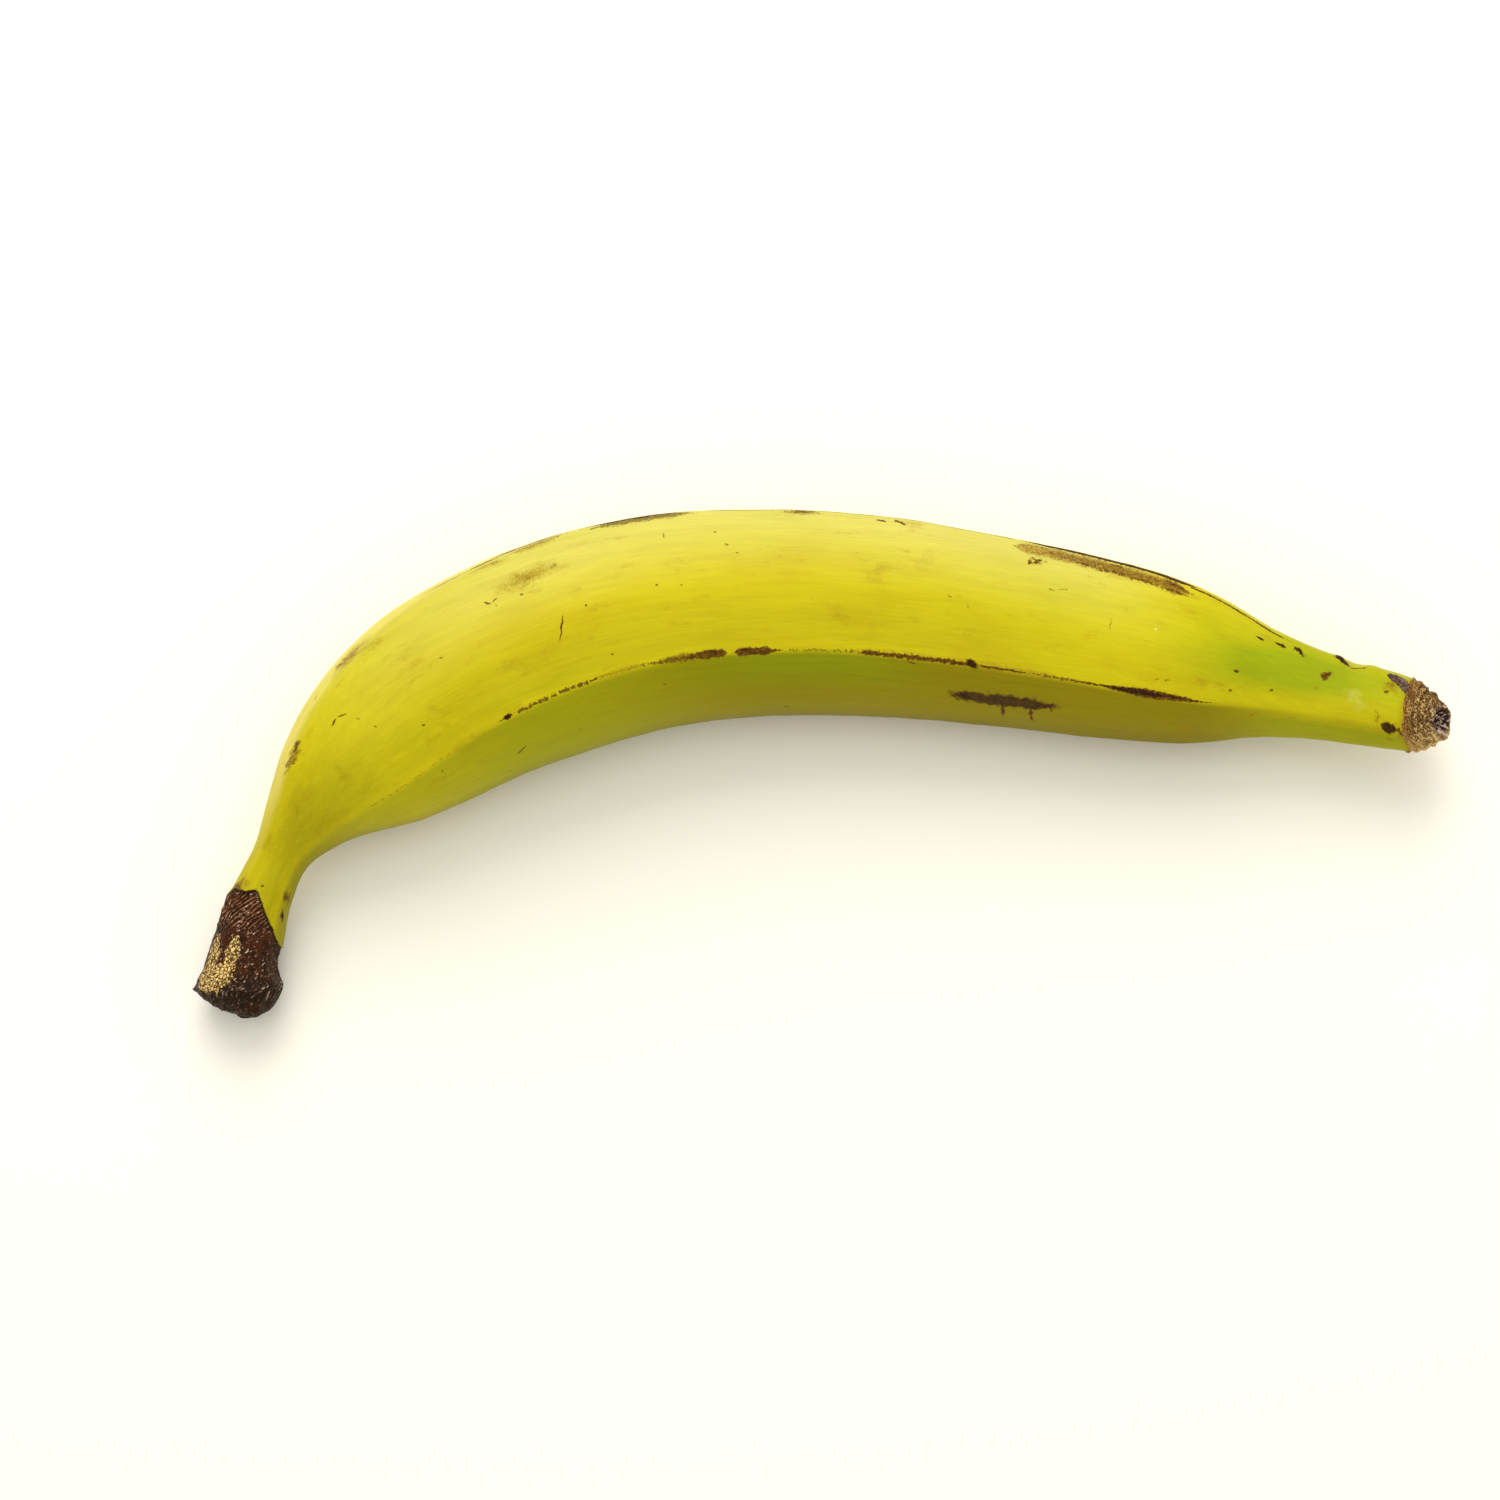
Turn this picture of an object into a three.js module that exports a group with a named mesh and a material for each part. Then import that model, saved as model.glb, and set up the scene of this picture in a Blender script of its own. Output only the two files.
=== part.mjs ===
// A single plantain, picked ripe-green and lying on its side.
// Millimetres, +Z up. The origin is under the middle of the fruit's box, on the surface it lies on.
// +X runs along the fruit towards the blossom tip, +Y towards the outer curve of its back.
import * as THREE from "three";

// ---- Driving dimensions ----

// Midline from the torn stem to the blossom tip, from the middle of the belly:
// x along the fruit, y towards the outer curve of its back, z up off its lower side.
const MIDLINE = [
  [-130.2, -87.2, -1.5],
  [-125.3, -67.7, -1.2],
  [-115.6, -49.0, -0.8],
  [-99.5, -32.2, -0.4],
  [-72.9, -14.7, 0.0],
  [-37.3, -3.1, -0.4],
  [0.0, -0.6, -0.6],
  [36.3, -3.6, -0.3],
  [74.3, -9.8, 0.3],
  [111.6, -18.1, 2.0],
  [146.3, -25.6, 6.4],
];

// Half the fruit's width in the plane of the curve, before its ridges, at distances along the
// midline.
const GIRTH = [
  [0, 10.1],
  [6, 8.8],
  [14, 7.8],
  [24, 6.6],
  [33, 6.5],
  [43, 9.8],
  [54, 14.9],
  [65, 19.2],
  [78, 21.9],
  [97, 23.5],
  [118, 23.8],
  [146, 23.1],
  [182, 21.9],
  [215, 20.7],
  [242, 19.5],
  [258, 17.9],
  [268, 15.7],
  [279, 12.2],
  [290, 10.1],
  [302, 9.0],
  [310, 8.5],
  [315, 7.9],
  [318.5, 6.3],
  [321, 3.9],
];

// Depth of the section as a share of its width: at the stem, through the belly, at the tip.
const DEPTH_SHARE = { stem: 0.95, belly: 0.9, tip: 0.98 };
// Where one share passes into the next.
const INTO_BELLY = [25, 80];
const INTO_TIP = [250, 300];

// The five ridges of the peel. Angles run round the section from the outer curve,
// over the upper flank, at these distances along the midline.
const RIDGE_STATIONS = [20, 55, 90, 130, 180, 250, 310];
const RIDGES = [
  { name: "back, upper", angles: [58, 50, 38, 22, 12, 21, 32], height: 0.08 },
  { name: "flank, upper", angles: [138, 128, 119.6, 113.9, 112.2, 115.6, 116.6], height: 0.068 },
  { name: "inner curve", angles: [188, 186, 184, 184, 182, 174, 160], height: 0.05 },
  { name: "flank, lower", angles: [232, 230, 230, 230, 232, 230, 226], height: 0.045 },
  { name: "back, lower", angles: [304, 302, 300, 298, 298, 296, 292], height: 0.045 },
];
const RIDGE_REACH = 16; // degrees over which a ridge falls away
const RIDGE_ROUNDING = 4; // degrees that its crest is rounded over

// Torn stem face: how far its rim leans, how far its middle bulges out, and the share of the bulge
// that is shifted towards the inner curve.
const STEM_FACE = { lean: 2.4, bulge: 5.2, lopsided: 0.7 };
// Blossom scar: how far its rim is cut back towards the outer curve and upwards, how far its middle
// bulges out, and its hollow's depth and share of the face.
const TIP_FACE = { leanOut: 0.5, leanUp: 1.4, bulge: 1.3, hollow: 2.6, hollowShare: 0.65 };
const LEAN_REACH = 12; // distance over which an end's lean fades out

// How the fruit lies: its back raised, its tip end lowered, and its lower side a little flat.
const BACK_RAISED = 10.0; // degrees
const TIP_LOWERED = 2.0; // degrees
const CONTACT_FLAT = 0.5; // depth of the flat spot that it rests on

// Facets.
const COLUMNS_PER_FACE = [13, 10, 8, 10, 7]; // columns between one ridge and the next
const RINGS = { stem: 14, neck: 20, belly: 30, tip: 18 };
const STATIONS = { stemEnds: 26, neckEnds: 90, bellyEnds: 250 };
const FACE_RINGS = 5; // rings across each end face
const CURVE_SAMPLES = 800; // points that a curve is measured by

// ---- Helpers ----

const radians = THREE.MathUtils.degToRad;
const UP = new THREE.Vector3(0, 0, 1);

/** Smooth curve through [position, value] pairs, read at a position. */
function track(pairs) {
  const curve = new THREE.SplineCurve(pairs.map(([x, y]) => new THREE.Vector2(x, y)));
  const samples = curve.getPoints(CURVE_SAMPLES);
  return (position) => {
    const next = samples.findIndex((p) => p.x >= position);
    if (next === 0) return samples[0].y;
    if (next < 0) return samples[samples.length - 1].y;
    const [a, b] = [samples[next - 1], samples[next]];
    return a.y + ((b.y - a.y) * (position - a.x)) / (b.x - a.x);
  };
}

const midline = new THREE.CatmullRomCurve3(
  MIDLINE.map((point) => new THREE.Vector3(...point)),
  false,
  "catmullrom",
);
midline.arcLengthDivisions = CURVE_SAMPLES;
const LENGTH = midline.getLength();
const halfWidth = track(GIRTH);
const ridgeAngles = RIDGES.map((r) => track(RIDGE_STATIONS.map((s, i) => [s, r.angles[i]])));

/** Depth over width of the section at a distance along the midline. */
function depthShare(distance) {
  const intoBelly = THREE.MathUtils.smoothstep(distance, ...INTO_BELLY);
  const intoTip = THREE.MathUtils.smoothstep(distance, ...INTO_TIP);
  const { stem, belly, tip } = DEPTH_SHARE;
  return stem + (belly - stem) * intoBelly + (tip - belly) * intoTip;
}

/** How far a ridge stands out at an angle away from its crest, from 1 down to 0. */
function crest(degreesAway) {
  const wrapped = ((((degreesAway + 180) % 360) + 360) % 360) - 180;
  return Math.exp((RIDGE_ROUNDING - Math.hypot(wrapped, RIDGE_ROUNDING)) / RIDGE_REACH);
}

/** Offset from the midline of the peel: x towards the outer curve, y towards the upper flank. */
function section(distance, angle) {
  const width = halfWidth(distance);
  let swell = 1;
  RIDGES.forEach((ridge, i) => {
    swell += ridge.height * crest(angle - ridgeAngles[i](distance));
  });
  return new THREE.Vector2(
    width * swell * Math.cos(radians(angle)),
    width * depthShare(distance) * swell * Math.sin(radians(angle)),
  );
}

/** Angle of a column at a distance along the midline: columns follow the ridges. */
function columnAngle(column, distance) {
  let left = column;
  for (let i = 0; i < RIDGES.length; i++) {
    if (left <= COLUMNS_PER_FACE[i]) {
      const from = ridgeAngles[i](distance);
      const to = i + 1 < RIDGES.length ? ridgeAngles[i + 1](distance) : ridgeAngles[0](distance) + 360;
      return from + ((to - from) * left) / COLUMNS_PER_FACE[i];
    }
    left -= COLUMNS_PER_FACE[i];
  }
  return ridgeAngles[0](distance);
}

/** Stations of the rings along the midline, closer together towards both ends. */
function stations() {
  const { stemEnds, neckEnds, bellyEnds } = STATIONS;
  const spans = [
    [0, stemEnds, RINGS.stem],
    [stemEnds, neckEnds, RINGS.neck],
    [neckEnds, bellyEnds, RINGS.belly],
    [bellyEnds, LENGTH, RINGS.tip],
  ];
  const list = [0];
  for (const [from, to, count] of spans) {
    for (let i = 1; i <= count; i++) list.push(from + ((to - from) * i) / count);
  }
  return list;
}

/** Point of the fruit: a distance along the midline, an angle, and the share out to the peel. */
function fruitPoint(distance, angle, share) {
  const u = distance / LENGTH;
  const tangent = midline.getTangentAt(u);
  const outward = new THREE.Vector3().crossVectors(UP, tangent).normalize();
  const upward = new THREE.Vector3().crossVectors(tangent, outward);
  const width = halfWidth(distance);
  const offset = section(distance, angle).multiplyScalar(share);
  let along = 0;
  if (distance === 0) {
    const shifted = 1 - (STEM_FACE.lopsided * offset.x) / width;
    along = -STEM_FACE.bulge * (1 - share ** 4) * shifted;
  }
  if (distance === LENGTH) {
    const hollow = Math.max(0, 1 - (share / TIP_FACE.hollowShare) ** 2);
    along = TIP_FACE.bulge * (1 - share * share) - TIP_FACE.hollow * hollow;
  }
  const nearStem = Math.max(0, 1 - distance / LEAN_REACH);
  const nearTip = Math.max(0, 1 - (LENGTH - distance) / LEAN_REACH);
  along -= (STEM_FACE.lean * nearStem * offset.x) / width;
  along -= (nearTip * (TIP_FACE.leanOut * offset.x + TIP_FACE.leanUp * offset.y)) / width;
  return midline
    .getPointAt(u)
    .addScaledVector(tangent, along)
    .addScaledVector(outward, offset.x)
    .addScaledVector(upward, offset.y);
}

// ---- The fruit ----

/** The closed skin of the plantain, in the plane of its curve. */
function plantainSkin() {
  const rows = [];
  for (let i = 1; i < FACE_RINGS; i++) rows.push({ distance: 0, share: i / FACE_RINGS });
  for (const distance of stations()) rows.push({ distance, share: 1 });
  for (let i = FACE_RINGS - 1; i > 0; i--) rows.push({ distance: LENGTH, share: i / FACE_RINGS });
  const columns = COLUMNS_PER_FACE.reduce((a, b) => a + b);
  const points = [fruitPoint(0, 0, 0)];
  for (const row of rows) {
    for (let c = 0; c < columns; c++) {
      points.push(fruitPoint(row.distance, columnAngle(c, row.distance), row.share));
    }
  }
  points.push(fruitPoint(LENGTH, 0, 0));
  const index = [];
  const at = (row, column) => 1 + row * columns + (column % columns);
  for (let c = 0; c < columns; c++) {
    index.push(0, at(0, c + 1), at(0, c));
    for (let row = 0; row + 1 < rows.length; row++) {
      const [a, b, d, e] = [at(row, c), at(row, c + 1), at(row + 1, c), at(row + 1, c + 1)];
      index.push(a, b, d, b, e, d);
    }
    index.push(at(rows.length - 1, c), at(rows.length - 1, c + 1), points.length - 1);
  }
  return new THREE.BufferGeometry().setFromPoints(points).setIndex(index);
}

/** Lays the fruit on the surface: turned as it lies, its lowest spots pressed flat, and centred. */
function layDown(geometry) {
  geometry.rotateY(radians(TIP_LOWERED)).rotateX(radians(BACK_RAISED));
  geometry.computeBoundingBox();
  const { min, max } = geometry.boundingBox;
  geometry.translate(-(min.x + max.x) / 2, -(min.y + max.y) / 2, -min.z - CONTACT_FLAT);
  const position = geometry.getAttribute("position");
  for (let i = 0; i < position.count; i++) position.setZ(i, Math.max(0, position.getZ(i)));
  return geometry;
}

const peel = new THREE.MeshStandardMaterial({ name: "peel", color: 0xc9bf28, roughness: 0.45 });

const plantain = new THREE.Mesh(layDown(plantainSkin()), peel);
plantain.name = "plantain";

const fruit = new THREE.Group();
fruit.add(plantain);

export default fruit;
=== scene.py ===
"""A single picked plantain that lies on its side on a pale floor.

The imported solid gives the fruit's size and place. This script models the same fruit again, finely
enough for its torn stem, crusted blossom scar and rough spots, and dresses it.

Lengths are in millimetres unless a name says otherwise, and MM turns them into Blender's metres.
The fruit is drawn in the plane of its curve: x along it towards the blossom tip, y towards the outer
curve of its back, z up, from the middle of the belly. Marks on the peel are placed by sight from
above that plane. Along is a distance from the torn stem on the midline, and across is a distance round
the peel from the upper flank ridge, positive towards the back.
"""

from __future__ import annotations

import logging
import math
from dataclasses import dataclass, field
from enum import Enum
from functools import reduce
from typing import Any, Iterable, Union

import bpy
import numpy as np
from mathutils import Matrix, Vector, noise


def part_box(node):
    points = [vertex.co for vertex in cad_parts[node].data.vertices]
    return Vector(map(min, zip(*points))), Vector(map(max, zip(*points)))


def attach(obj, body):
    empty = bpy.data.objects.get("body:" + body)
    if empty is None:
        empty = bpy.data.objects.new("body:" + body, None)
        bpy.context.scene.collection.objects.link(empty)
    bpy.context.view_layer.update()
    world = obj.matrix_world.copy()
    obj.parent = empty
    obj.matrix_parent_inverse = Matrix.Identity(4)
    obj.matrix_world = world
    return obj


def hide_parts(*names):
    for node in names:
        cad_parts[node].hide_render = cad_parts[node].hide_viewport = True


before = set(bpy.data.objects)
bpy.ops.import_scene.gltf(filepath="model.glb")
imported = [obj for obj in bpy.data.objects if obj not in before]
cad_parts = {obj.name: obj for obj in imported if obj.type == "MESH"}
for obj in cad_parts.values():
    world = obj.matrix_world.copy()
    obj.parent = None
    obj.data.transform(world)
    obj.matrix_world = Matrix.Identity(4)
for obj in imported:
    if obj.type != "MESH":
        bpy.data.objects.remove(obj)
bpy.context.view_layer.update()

NODE = "plantain"
BODY = "root"
MM = 0.001
STEM_ENDS = 40.0  # distance along the midline that the dry stem stays short of
CRUST_STARTS = 290.0  # distance along the midline that the crust stays beyond
PEEL_SPAN = 400.0  # length of peel, along or across, that one unit of a UV map stands for
CURVE_SAMPLES = 800
OUT_OF_SIGHT = 1e3  # added to the distance of a place that the camera can't see

log = logging.getLogger("plantain")
Socket = bpy.types.NodeSocket
Value = Union["Wire", float, int, tuple]
Colour = tuple[float, float, float]
Ramp = tuple[float, float]  # where a smooth step starts from 0 and where it reaches 1


# ---- Curves and numbers ----


def smoothstep(value: np.ndarray, low: float, high: float) -> np.ndarray:
    """Smooth step from 0 at low to 1 at high."""
    t = np.clip((value - low) / (high - low), 0.0, 1.0)
    return t * t * (3.0 - 2.0 * t)


def hump(value: np.ndarray, centre: float, reach: float) -> np.ndarray:
    """Bell of height 1 at centre that has mostly faded at reach."""
    return np.exp(-(((value - centre) / reach) ** 2))


def turn(angle: np.ndarray, centre: float) -> np.ndarray:
    """Angle from centre, between -180 and 180 degrees."""
    return (angle - centre + 180.0) % 360.0 - 180.0


def sampled_curve(points: Iterable, open_ends: bool) -> np.ndarray:
    """Smooth curve through points, the same as three.js draws.

    Args:
        points: the points, one row each.
        open_ends: whether the end stretches run on straight, as on a curve in space.

    Returns:
        CURVE_SAMPLES + 1 points on the curve, evenly spaced in its parameter.
    """
    knots = np.array(list(points), float)
    before = 2 * knots[0] - knots[1] if open_ends else knots[0]
    after = 2 * knots[-1] - knots[-2] if open_ends else knots[-1]
    padded = np.vstack([before, knots, after])
    position = np.linspace(0, len(knots) - 1, CURVE_SAMPLES + 1)
    i = np.minimum(position.astype(int), len(knots) - 2)
    t = (position - i)[:, None]
    p0, p1, p2, p3 = (padded[i + k] for k in range(4))
    v0 = (p2 - p0) / 2
    v1 = (p3 - p1) / 2
    cubic = 2 * p1 - 2 * p2 + v0 + v1
    square = -3 * p1 + 3 * p2 - 2 * v0 - v1
    return ((cubic * t + square) * t + v0) * t + p1


class Track:
    """A value that changes smoothly with a position."""

    def __init__(self, pairs: Iterable[tuple[float, float]]) -> None:
        """Draws the curve through (position, value) pairs."""
        self.samples = sampled_curve(pairs, open_ends=False)

    def __call__(self, position: np.ndarray) -> np.ndarray:
        """Value at each position."""
        return np.interp(position, self.samples[:, 0], self.samples[:, 1])


def roughness(points: np.ndarray, size: float, octaves: int = 3, seed: float = 0.0) -> np.ndarray:
    """Fractal noise between about -1 and 1.

    Args:
        points: places, with x, y and z in the last axis.
        size: size of the largest lumps.
        octaves: how many finer sizes are added.
        seed: moves the pattern, so that two calls differ.

    Returns:
        One value for each place.
    """
    flat = points.reshape(-1, 3) / size + seed
    values = [noise.fractal(Vector(p), 1.0, 2.0, octaves) for p in flat]
    return np.array(values).reshape(points.shape[:-1])


# ---- The fruit's form ----


@dataclass(frozen=True)
class Ridge:
    """One of the five ridges: its angle at RIDGE_STATIONS, and how far it stands out."""

    angles: tuple[float, ...]
    height: float


RIDGE_STATIONS = (20, 55, 90, 130, 180, 250, 310)
BACK_UPPER = Ridge((58, 50, 38, 22, 12, 21, 32), 0.08)
FLANK_UPPER = Ridge((138, 128, 119.6, 113.9, 112.2, 115.6, 116.6), 0.068)
INNER_CURVE = Ridge((188, 186, 184, 184, 182, 174, 160), 0.05)
FLANK_LOWER = Ridge((232, 230, 230, 230, 232, 230, 226), 0.045)
BACK_LOWER = Ridge((304, 302, 300, 298, 298, 296, 292), 0.045)


@dataclass(frozen=True)
class FruitForm:
    """The smooth form of the fruit.

    Its solid has the same driving dimensions, but for blunter ridges and for a tip that leans less and
    isn't drawn in, which leaves room in its box for the relief of the crust.
    """

    midline_points: tuple = (
        (-130.2, -87.2, -1.5), (-125.3, -67.7, -1.2), (-115.6, -49.0, -0.8),
        (-99.5, -32.2, -0.4), (-72.9, -14.7, 0.0), (-37.3, -3.1, -0.4),
        (0.0, -0.6, -0.6), (36.3, -3.6, -0.3), (74.3, -9.8, 0.3),
        (111.6, -18.1, 2.0), (146.3, -25.6, 6.4),
    )
    girth: tuple = (
        (0, 10.1), (6, 8.8), (14, 7.8), (24, 6.6), (33, 6.5), (43, 9.8), (54, 14.9), (65, 19.2),
        (78, 21.9), (97, 23.5), (118, 23.8), (146, 23.1), (182, 21.9), (215, 20.7), (242, 19.5), (258, 17.9),
        (268, 15.7), (279, 12.2), (290, 10.1), (302, 9.0), (310, 8.5), (315, 7.9), (318.5, 6.3), (321, 3.9),
    )
    stem_depth: float = 0.95
    belly_depth: float = 0.9
    tip_depth: float = 0.98
    into_belly: tuple = (25, 80)
    into_tip: tuple = (250, 300)
    ridges: tuple = (BACK_LOWER, BACK_UPPER, FLANK_UPPER, INNER_CURVE, FLANK_LOWER)
    ridge_reach: float = 16.0
    ridge_rounding: float = 1.6
    stem_lean: float = 2.4
    stem_bulge: float = 5.2
    stem_lopsided: float = 0.7
    tip_lean_out: float = 0.5
    tip_lean_up: float = 3.1
    tip_drawn_in: float = 1.3
    tip_bulge: float = 1.3
    tip_hollow: float = 2.6
    tip_hollow_share: float = 0.65
    lean_reach: float = 12.0
    back_raised: float = 10.0
    tip_lowered: float = 2.0
    contact_flat: float = 0.5

    def midline(self) -> np.ndarray:
        """Samples the midline.

        Returns:
            A row for each sample: distance along the midline, then x, y and z.
        """
        points = sampled_curve(self.midline_points, open_ends=True)
        steps = np.linalg.norm(np.diff(points, axis=0), axis=1)
        return np.column_stack([np.concatenate([[0.0], np.cumsum(steps)]), points])

    def length(self) -> float:
        """Length of the midline."""
        return float(self.midline()[-1, 0])

    def axes(self, along: np.ndarray) -> tuple[np.ndarray, ...]:
        """Where the midline is and how it points.

        Args:
            along: distances along the midline.

        Returns:
            The point, and unit vectors along the midline, towards the outer curve and up.
        """
        line = self.midline()
        point = np.stack([np.interp(along, line[:, 0], line[:, k]) for k in (1, 2, 3)], -1)
        slope = np.gradient(line[:, 1:], line[:, 0], axis=0)
        tangent = np.stack([np.interp(along, line[:, 0], slope[:, k]) for k in range(3)], -1)
        tangent /= np.linalg.norm(tangent, axis=-1, keepdims=True)
        outward = np.cross((0.0, 0.0, 1.0), tangent)
        outward /= np.linalg.norm(outward, axis=-1, keepdims=True)
        return point, tangent, outward, np.cross(tangent, outward)

    def ridge_angle(self, ridge: Ridge, along: np.ndarray) -> np.ndarray:
        """Angle of a ridge at distances along the midline."""
        return Track(zip(RIDGE_STATIONS, ridge.angles))(along)

    def half_width(self, along: np.ndarray) -> np.ndarray:
        """Half the width in the plane of the curve, before the ridges."""
        return Track(self.girth)(along)

    def depth_share(self, along: np.ndarray) -> np.ndarray:
        """Depth over width of the section.

        Args:
            along: distances along the midline.

        Returns:
            One share for each distance.
        """
        belly = smoothstep(along, *self.into_belly)
        tip = smoothstep(along, *self.into_tip)
        into_belly = (self.belly_depth - self.stem_depth) * belly
        return self.stem_depth + into_belly + (self.tip_depth - self.belly_depth) * tip

    def section(self, along: np.ndarray, angle: np.ndarray) -> np.ndarray:
        """Offset of the peel from the midline.

        Args:
            along: distances along the midline, one a row.
            angle: angles round the section, a row for each distance.

        Returns:
            Offsets towards the outer curve and up, in the last axis.
        """
        swell = np.ones_like(angle)
        for ridge in self.ridges:
            away = turn(angle, self.ridge_angle(ridge, along)[:, None])
            rounded = self.ridge_rounding - np.hypot(away, self.ridge_rounding)
            swell += ridge.height * np.exp(rounded / self.ridge_reach)
        width = self.half_width(along)[:, None] * swell
        depth = width * self.depth_share(along)[:, None]
        turned = np.radians(angle)
        return np.stack([width * np.cos(turned), depth * np.sin(turned)], -1)

    def points(self, along: np.ndarray, share: np.ndarray, angle: np.ndarray) -> np.ndarray:
        """Points of the fruit in the plane of its curve.

        Args:
            along: distances along the midline, one a row.
            share: share of the way out to the peel, one a row, below 1 on the end faces.
            angle: angles round the section, a row for each distance.

        Returns:
            Points, with x, y and z in the last axis.
        """
        offset = self.section(along, angle) * share[:, None, None]
        out, up = offset[..., 0], offset[..., 1]
        width = self.half_width(along)[:, None]
        inward = share[:, None]
        at_stem = (along == 0.0)[:, None]
        at_tip = (along >= self.length())[:, None]
        shifted = 1 - self.stem_lopsided * out / width
        push = np.where(at_stem, -self.stem_bulge * (1 - inward**4) * shifted, 0.0)
        hollow = np.clip(1 - (inward / self.tip_hollow_share) ** 2, 0, None)
        dome = self.tip_bulge * (1 - inward**2) - self.tip_hollow * hollow
        push = push + np.where(at_tip, dome, 0.0)
        near_stem = np.clip(1 - along / self.lean_reach, 0, None)[:, None]
        near_tip = np.clip(1 - (self.length() - along) / self.lean_reach, 0, None)[:, None]
        push = push - self.stem_lean * near_stem * out / width
        leaning = (self.tip_lean_out * out + self.tip_lean_up * up) / width
        push = push - near_tip * (leaning + self.tip_drawn_in)
        point, tangent, outward, upward = (a[:, None, :] for a in self.axes(along))
        return point + tangent * push[..., None] + outward * out[..., None] + upward * up[..., None]

    def lie(self) -> Matrix:
        """How the fruit lies.

        Returns:
            The turn from the plane of its curve to the row frame.
        """
        raised = Matrix.Rotation(math.radians(self.back_raised), 4, "X")
        lowered = Matrix.Rotation(math.radians(self.tip_lowered), 4, "Y")
        return raised @ lowered


# ---- The fine skin ----


@dataclass(frozen=True)
class Boundary:
    """A line round the fruit: its distance along the midline at angles round the section."""

    pairs: tuple

    def past(self, along: np.ndarray, angle: np.ndarray) -> np.ndarray:
        """How far each place lies past the line, towards the tip."""
        return along - Track(self.pairs)(angle % 360.0)


@dataclass
class SkinGrid:
    """Rings and columns of the skin, closed at both ends, with what is known at each crossing."""

    form: FruitForm
    columns: tuple[int, ...] = (20, 52, 56, 36, 26, 20)
    spans: tuple = (
        (0, 26, 84), (26, 50, 46), (50, 90, 44), (90, 250, 128), (250, 300, 56), (300, 321, 66),
    )
    face_rings: int = 14
    seam_angle: float = -95.0
    along: np.ndarray = field(init=False)
    share: np.ndarray = field(init=False)
    angle: np.ndarray = field(init=False)
    plain: np.ndarray = field(init=False)

    def __post_init__(self) -> None:
        """Lays out the rings and columns."""
        length = self.form.length()
        along = [0.0] * (self.face_rings + 1)
        for start, end, count in self.spans:
            stop = min(end, length)
            along += [start + (stop - start) * i / count for i in range(1, count + 1)]
        along += [length] * self.face_rings
        inner = [i / self.face_rings for i in range(self.face_rings + 1)]
        body = len(along) - 2 * len(inner)
        self.along = np.array(along)
        self.share = np.array(inner + [1.0] * body + inner[::-1])
        self.angle = self.column_angles()
        self.plain = self.form.points(self.along, self.share, self.angle)

    def column_angles(self) -> np.ndarray:
        """Lets the columns follow the ridges.

        Returns:
            The angle of each column on each ring, of which the last repeats the first.
        """
        rows = len(self.along)
        edges = [np.full(rows, self.seam_angle)]
        for ridge in self.form.ridges:
            edge = self.form.ridge_angle(ridge, self.along)
            edges.append(edge - 360.0 if ridge is BACK_LOWER else edge)
        edges.append(np.full(rows, self.seam_angle + 360.0))
        parts = []
        for low, high, count in zip(edges, edges[1:], self.columns):
            step = np.arange(count) / count
            parts.append(low[:, None] + (high - low)[:, None] * step)
        parts.append(edges[-1][:, None])
        return np.hstack(parts)

    def column_of(self, ridge: Ridge) -> int:
        """Column that runs on a ridge."""
        return int(sum(self.columns[: self.form.ridges.index(ridge) + 1]))

    def straightened(self) -> np.ndarray:
        """Straightens the fruit.

        Returns:
            Where each crossing would be if the midline were straight.
        """
        offset = self.form.section(self.along, self.angle) * self.share[:, None, None]
        along = np.broadcast_to(self.along[:, None], self.angle.shape)
        return np.concatenate([along[..., None], offset], -1)

    def round_the_peel(self) -> np.ndarray:
        """Measures round the peel.

        Returns:
            Distance of each crossing from the seam, on the full girth.
        """
        offset = self.form.section(self.along, self.angle)
        steps = np.linalg.norm(np.diff(offset, axis=1), axis=-1)
        start = np.zeros((len(self.along), 1))
        return np.hstack([start, np.cumsum(steps, axis=1)])

    def from_ridge(self, ridge: Ridge) -> np.ndarray:
        """Distance round the peel from a ridge, positive towards the back and against the angle."""
        around = self.round_the_peel()
        return around[:, [self.column_of(ridge)]] - around

    def normals(self) -> np.ndarray:
        """Finds which way the plain skin faces.

        Returns:
            An outward unit normal for each crossing.
        """
        down_rows = np.gradient(self.plain, axis=0)
        down_columns = np.gradient(self.plain, axis=1)
        normal = np.cross(down_columns, down_rows)
        length = np.linalg.norm(normal, axis=-1, keepdims=True)
        ends = self.form.axes(self.along)[1][:, None, :]
        outwards = np.where((self.along < 1)[:, None, None], -ends, ends)
        flat = np.where(length > 1e-9, normal / np.maximum(length, 1e-9), outwards)
        flat[:, -1] = flat[:, 0]
        return flat


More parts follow.
